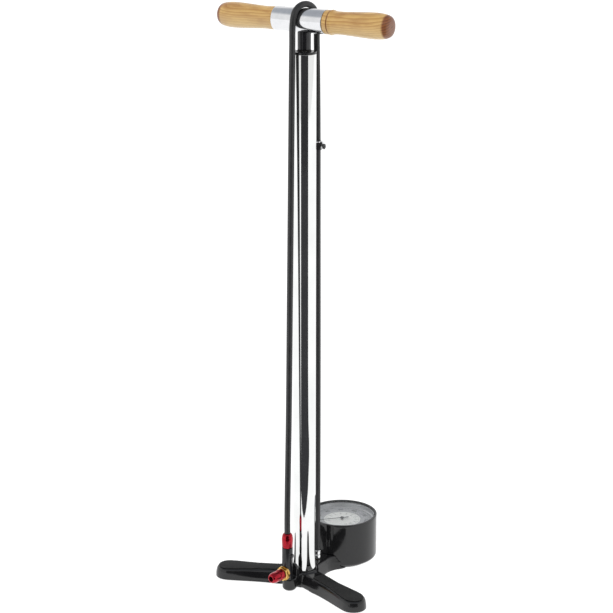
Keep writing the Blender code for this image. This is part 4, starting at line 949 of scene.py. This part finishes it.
HEAD_R = 0.0068
HEAD_START = ring_face + GAP
HEAD_TIP = 0.0295
GROOVE_AT = 0.0174
MOUTH_R = 0.0034
BORE_R = 0.0046
BORE_END = 0.0240
GROOVE_DEPTH = 0.0009
HEAD_FLATS = 0.0064
LOBE = 0.0003
head_profile = [
    (BORE_R, HEAD_START), (HEAD_R, HEAD_START), (HEAD_R, GROOVE_AT - 0.0008),
    (HEAD_R - GROOVE_DEPTH, GROOVE_AT), (HEAD_R - GROOVE_DEPTH, GROOVE_AT + 0.0010),
    (HEAD_R - 0.0003, GROOVE_AT + 0.0015), (HEAD_R - 0.0003, HEAD_TIP - 0.0050),
    (HEAD_R - 0.0007, HEAD_TIP - 0.0028), (HEAD_R - 0.0015, HEAD_TIP - 0.0009),
    (HEAD_R - 0.0024, HEAD_TIP), (MOUTH_R, HEAD_TIP), (MOUTH_R, BORE_END), (BORE_R, BORE_END)]


def head_shape(radius, z, turn):
    """Flats behind the groove, and a six-lobed mouth."""
    if z < GROOVE_AT - 0.0004 and radius > BORE_R + GROOVE_DEPTH:
        return six_sided(HEAD_FLATS, 0, radius, z, turn)
    if radius < MOUTH_R + 0.0001 and z > BORE_END:
        return radius + LOBE * cos(6 * turn)
    return radius


head = lathe(eased(head_profile, 0.0004, 3, closed=True), 144, head_shape)
moved(head, (0, CHUCK_Y, HEAD_Z), HEAD_AXIS)
fitted("chuck_head_fine", smoothed(head), red_anodised, "chuck_tip", ["chuck_head"])

# ---- gauge ----------------------------------------------------------------------------------
# A deep drawn-steel case in the same enamel, sat in the cradle. Inside its rim are a bright
# aluminium ring, a printed dial and a needle under a clear acrylic lens.
low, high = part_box("gauge_housing")
GAUGE_Y = (low.y + high.y) / 2
GAUGE_R = (high.x - low.x) / 2
GAUGE_WALL = 0.0020
GAUGE_BORE = GAUGE_R - GAUGE_WALL
GAUGE_CORNER = 0.0050
GAUGE_FLOOR = low.z + 0.0025
CORNER_STEPS = 8
foot_line = [(GAUGE_R - GAUGE_CORNER * (1 - sin(pi / 2 * i / CORNER_STEPS)),
              low.z + GAUGE_CORNER * (1 - cos(pi / 2 * i / CORNER_STEPS)))
             for i in range(CORNER_STEPS + 1)]
case = moved(lathe([(0, low.z)] + foot_line + eased([
    (GAUGE_R, high.z - 0.004), (GAUGE_R, high.z), (GAUGE_BORE, high.z),
    (GAUGE_BORE, low.z + GAUGE_CORNER), (GAUGE_BORE - 0.002, GAUGE_FLOOR), (0, GAUGE_FLOOR)],
    0.0006), 160), (0, GAUGE_Y, 0))
STEM_PORT_Z = 0.0110
STEM_PORT_R = 0.0033
SCREW_CIRCLE = 0.0220
SCREW_HOLE_R = 0.0018
holes = [moved(plug(STEM_PORT_R, -0.06, -0.03, 48), (0, GAUGE_Y, STEM_PORT_Z),
               Matrix.Rotation(radians(-90), 4, "X"))]
for number in range(3):
    turn = radians(90 + 120 * number)
    holes.append(moved(plug(SCREW_HOLE_R, -0.001, 0.012, 32),
                       (SCREW_CIRCLE * cos(turn), GAUGE_Y + SCREW_CIRCLE * sin(turn), 0)))
fitted("gauge_housing_fine", carved(case, holes), enamel, "frame", ["gauge_housing"])

# aluminium as it left the lathe: a grey sheen, with turning marks 0.3 mm apart
plain_metal, tree, shader = started("turned_plain_aluminium", 0.32, 1.0)
spot = add(tree, "ShaderNodeTexCoord").outputs["Object"]
brush = add(tree, "ShaderNodeTexNoise", {"Vector": add(tree, "ShaderNodeMapping", {
    "Vector": spot, "Scale": (90, 90, 3000)}), "Scale": 1.0, "Detail": 3.0})
dressed(tree, shader, (brush, [(0.3, "b5b6b8"), (0.7, "cdced0")]),
        gloss=(brush, 0.24, 0.42),
        relief=(brush, 0.08, 0.00005))
refinish(plain_metal, "piston_head")
low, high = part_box("gauge_inner_ring")
BEZEL_R = (high.x - low.x) / 2
BEZEL_WALL = 0.0016
bezel = moved(lathe(eased([
    (BEZEL_R - BEZEL_WALL, low.z), (BEZEL_R, low.z), (BEZEL_R, high.z),
    (BEZEL_R - BEZEL_WALL / 2, high.z), (BEZEL_R - 0.0011, low.z + 0.0008),
    (BEZEL_R - BEZEL_WALL, low.z + 0.0006)], 0.0002, closed=True), 128), (0, GAUGE_Y, 0))
fitted("gauge_inner_ring_fine", smoothed(bezel), plain_metal, "frame", ["gauge_inner_ring"])

# screen-printed aluminium: a pale middle, a grey scale ring with a tooth of 0.7 mm, a pale border
dial_print, tree, shader = started("printed_aluminium_dial", 0.45, 0.2)
spot = add(tree, "ShaderNodeTexCoord").outputs["Object"]
flat = add(tree, "ShaderNodeMapping", {"Vector": spot, "Location": (0, -GAUGE_Y, 0)})
planar = add(tree, "ShaderNodeVectorMath", {0: flat, 1: (1, 1, 0)}, operation="MULTIPLY")
from_centre = add(tree, "ShaderNodeVectorMath", {0: planar}, operation="LENGTH")
DIAL_HALF = 0.042
share = add(tree, "ShaderNodeMath", {0: from_centre.outputs["Value"], 1: DIAL_HALF},
            operation="DIVIDE")
MIDDLE = 0.0232 / DIAL_HALF
BORDER = 0.0388 / DIAL_HALF
zones = add(tree, "ShaderNodeValToRGB", {"Fac": share}, stops=[
    (0.0, "bfc0bd"), (MIDDLE - 0.004, "bfc0bd"), (MIDDLE, "5c5d5f"), (MIDDLE + 0.012, "8a8b8d"),
    (BORDER - 0.004, "8a8b8d"), (BORDER, "cfcfcf"), (1.0, "c2c2c2")])
tooth = add(tree, "ShaderNodeTexNoise", {"Vector": spot, "Scale": 1500.0, "Detail": 3.0})
dial_colour = add(tree, "ShaderNodeMix", {0: 0.16, 6: zones, 7: tooth.outputs["Color"]},
                  data_type="RGBA", blend_type="OVERLAY")
tree.links.new(dial_colour.outputs[2], shader.inputs["Base Color"])
dressed(tree, shader, relief=(tooth, 0.15, 0.00005))
low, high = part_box("gauge_dial")
DIAL_TOP = high.z
DIAL_HOLE = 0.0020
DIAL_R = (high.x - low.x) / 2
dial = moved(hoop(DIAL_HOLE, DIAL_R, low.z, high.z, 0.0001, 128, 1), (0, GAUGE_Y, 0))
fitted("gauge_dial_fine", smoothed(dial), dial_print, "frame", ["gauge_dial"])

# printing ink: thin, matt and nearly black, for both scales' marks and figures
ink, tree, shader = started("screen_printing_ink", 0.6)
spot = add(tree, "ShaderNodeTexCoord").outputs["Object"]
# it takes unevenly over 0.5 mm
blotch = add(tree, "ShaderNodeTexNoise", {"Vector": spot, "Scale": 2200.0})
dressed(tree, shader, (blotch, [(0.3, "202124"), (0.7, "2d2e31")]))
SWEEP = radians(270)
INK_T = 0.00006
INK_Z = DIAL_TOP + INK_T / 2
scale_marks, ask = node_group("scale_marks", {
    "Count": ("NodeSocketInt", 81), "Radius": ("NodeSocketFloat", 0.0372),
    "Length": ("NodeSocketFloat", 0.0014), "Width": ("NodeSocketFloat", 0.00022),
    "Height": ("NodeSocketFloat", INK_Z), "Sweep": ("NodeSocketFloat", SWEEP),
    "Centre": ("NodeSocketFloat", GAUGE_Y)})
arc = add(scale_marks, "GeometryNodeCurveArc", {
    "Resolution": ask["Count"], "Radius": ask["Radius"], "Start Angle": (pi - SWEEP) / 2,
    "Sweep Angle": ask["Sweep"]})
stops = add(scale_marks, "GeometryNodeCurveToPoints", {"Curve": arc}, mode="EVALUATED")
size = add(scale_marks, "ShaderNodeCombineXYZ", {"X": ask["Length"], "Y": INK_T,
                                                 "Z": ask["Width"]})
mark = add(scale_marks, "GeometryNodeMeshCube", {"Size": size})
laid = add(scale_marks, "GeometryNodeInstanceOnPoints", {
    "Points": stops, "Instance": mark, "Rotation": stops.outputs["Rotation"]})
seat = add(scale_marks, "ShaderNodeCombineXYZ", {"Y": ask["Centre"], "Z": ask["Height"]})
raised = add(scale_marks, "GeometryNodeTransform", {"Geometry": laid, "Translation": seat})
real = add(scale_marks, "GeometryNodeRealizeInstances", {"Geometry": raised})
done = add(scale_marks, "GeometryNodeSetMaterial", {"Geometry": real, "Material": ink})
add(scale_marks, "NodeGroupOutput", {"Geometry": done})
print_bm = bmesh.new()
for count, radius, length, width in ((81, 0.0372, 0.0014, 0.00022), (17, 0.0366, 0.0028, 0.0005),
                                     (56, 0.0210, 0.0010, 0.00020), (12, 0.0205, 0.0020, 0.0004)):
    marks_mesh = grown(bpy.data.meshes.new("empty"), scale_marks, {
        "Count": count, "Radius": radius, "Length": length, "Width": width}, ink)
    print_bm.from_mesh(marks_mesh)


def figure(text, size, radius, share_of_sweep):
    """A number laid on the dial, its foot towards the middle."""
    letters = bpy.data.curves.new("figure", "FONT")
    letters.body = text
    letters.size = size
    letters.align_x = "CENTER"
    letters.align_y = "CENTER"
    letters.extrude = INK_T / 2
    turn = SWEEP / 2 - SWEEP * share_of_sweep
    mesh = evaluated(temporary(letters))
    mesh.transform(Matrix.Translation((0, GAUGE_Y, INK_Z)) @ Matrix.Rotation(turn, 4, "Z")
                   @ Matrix.Translation((0, radius, 0)))
    return mesh


for count, unit, size, radius in ((8, 20, 0.0066, 0.0306), (11, 1, 0.0044, 0.0168)):
    for step in range(count + 1):
        print_bm.from_mesh(figure(str(step * unit), size, radius, step / count))
fitted("gauge_dial_print", smoothed(print_bm), ink, "frame")

# moulded black plastic, spark-eroded in the tool to 0.5 mm: the lens's retaining ring and needle
black_plastic, tree, shader = started("moulded_black_plastic", 0.4, IOR=1.49)
spot = add(tree, "ShaderNodeTexCoord").outputs["Object"]
spark = add(tree, "ShaderNodeTexNoise", {"Vector": spot, "Scale": 2000.0, "Detail": 2.0})
dressed(tree, shader, (spark, [(0.3, "1b1b1d"), (0.7, "232326")]),
        gloss=(spark, 0.32, 0.5),
        relief=(spark, 0.2, 0.00004))
low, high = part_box("lens_ring")
KEEPER_R = (high.x - low.x) / 2
KEEPER_WALL = 0.0010
keeper = moved(hoop(KEEPER_R - KEEPER_WALL, KEEPER_R, low.z, high.z, 0.0002, 128), (0, GAUGE_Y, 0))
fitted("lens_ring_fine", smoothed(keeper), black_plastic, "frame", ["lens_ring"])

low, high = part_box("gauge_needle")
NEEDLE_Z = low.z
NEEDLE_LENGTH = 0.0298
NEEDLE_TAIL = 0.0085
ARBOR_R = 0.0010
HUB_R = 0.0024
HUB_T = 0.0016
BLADE_Z = 0.0004
BLADE_T = 0.0005
hub = lathe(eased([(ARBOR_R, 0), (HUB_R, 0), (HUB_R, 0.0011), (HUB_R - 0.0006, HUB_T),
                   (ARBOR_R, HUB_T)], 0.0002, closed=True), 48)
right_side = [(0.0010, -NEEDLE_TAIL), (0.0006, -0.0020), (0.0006, 0.0), (0.0004, 0.0120),
              (0.00015, NEEDLE_LENGTH)]
outline = right_side + [(-x, y) for x, y in reversed(right_side)]
blade = bmesh.new()
face = blade.faces.new([blade.verts.new((x, y, BLADE_Z)) for x, y in outline])
lifted = bmesh.ops.extrude_face_region(blade, geom=[face])["geom"]
bmesh.ops.translate(blade, vec=(0, 0, BLADE_T),
                    verts=[v for v in lifted if isinstance(v, bmesh.types.BMVert)])
bmesh.ops.recalc_face_normals(blade, faces=blade.faces)
needle_mesh = carved(blade, [plug(ARBOR_R, -0.001, 0.003, 48)])
joined = bmesh.new()
joined.from_mesh(needle_mesh)
joined.from_mesh(smoothed(hub))
moved(joined, (0, GAUGE_Y, NEEDLE_Z), Matrix.Rotation(SWEEP / 2, 4, "Z"))
fitted("gauge_needle_fine", smoothed(joined), black_plastic, "needle", ["gauge_needle"])

# acrylic lens: clear, hard and polished, with the lightest haze of wiping marks 17 mm across
acrylic, tree, shader = started("clear_acrylic_lens", 0.04, IOR=1.49, Alpha=0.05)
spot = add(tree, "ShaderNodeTexCoord").outputs["Object"]
wipes = add(tree, "ShaderNodeTexNoise", {"Vector": spot, "Scale": 60.0, "Detail": 5.0})
dressed(tree, shader, (wipes, [(0.3, "eef2f2"), (0.8, "f6f8f8")]),
        gloss=(wipes, 0.03, 0.09))
low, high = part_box("gauge_lens")
LENS_R = (high.x - low.x) / 2
lens = moved(lathe(eased([(0, low.z), (LENS_R, low.z), (LENS_R, high.z), (0, high.z)], 0.0003),
                   128), (0, GAUGE_Y, 0))
fitted("gauge_lens_fine", smoothed(lens), acrylic, "frame", ["gauge_lens"])

bpy.context.view_layer.update()
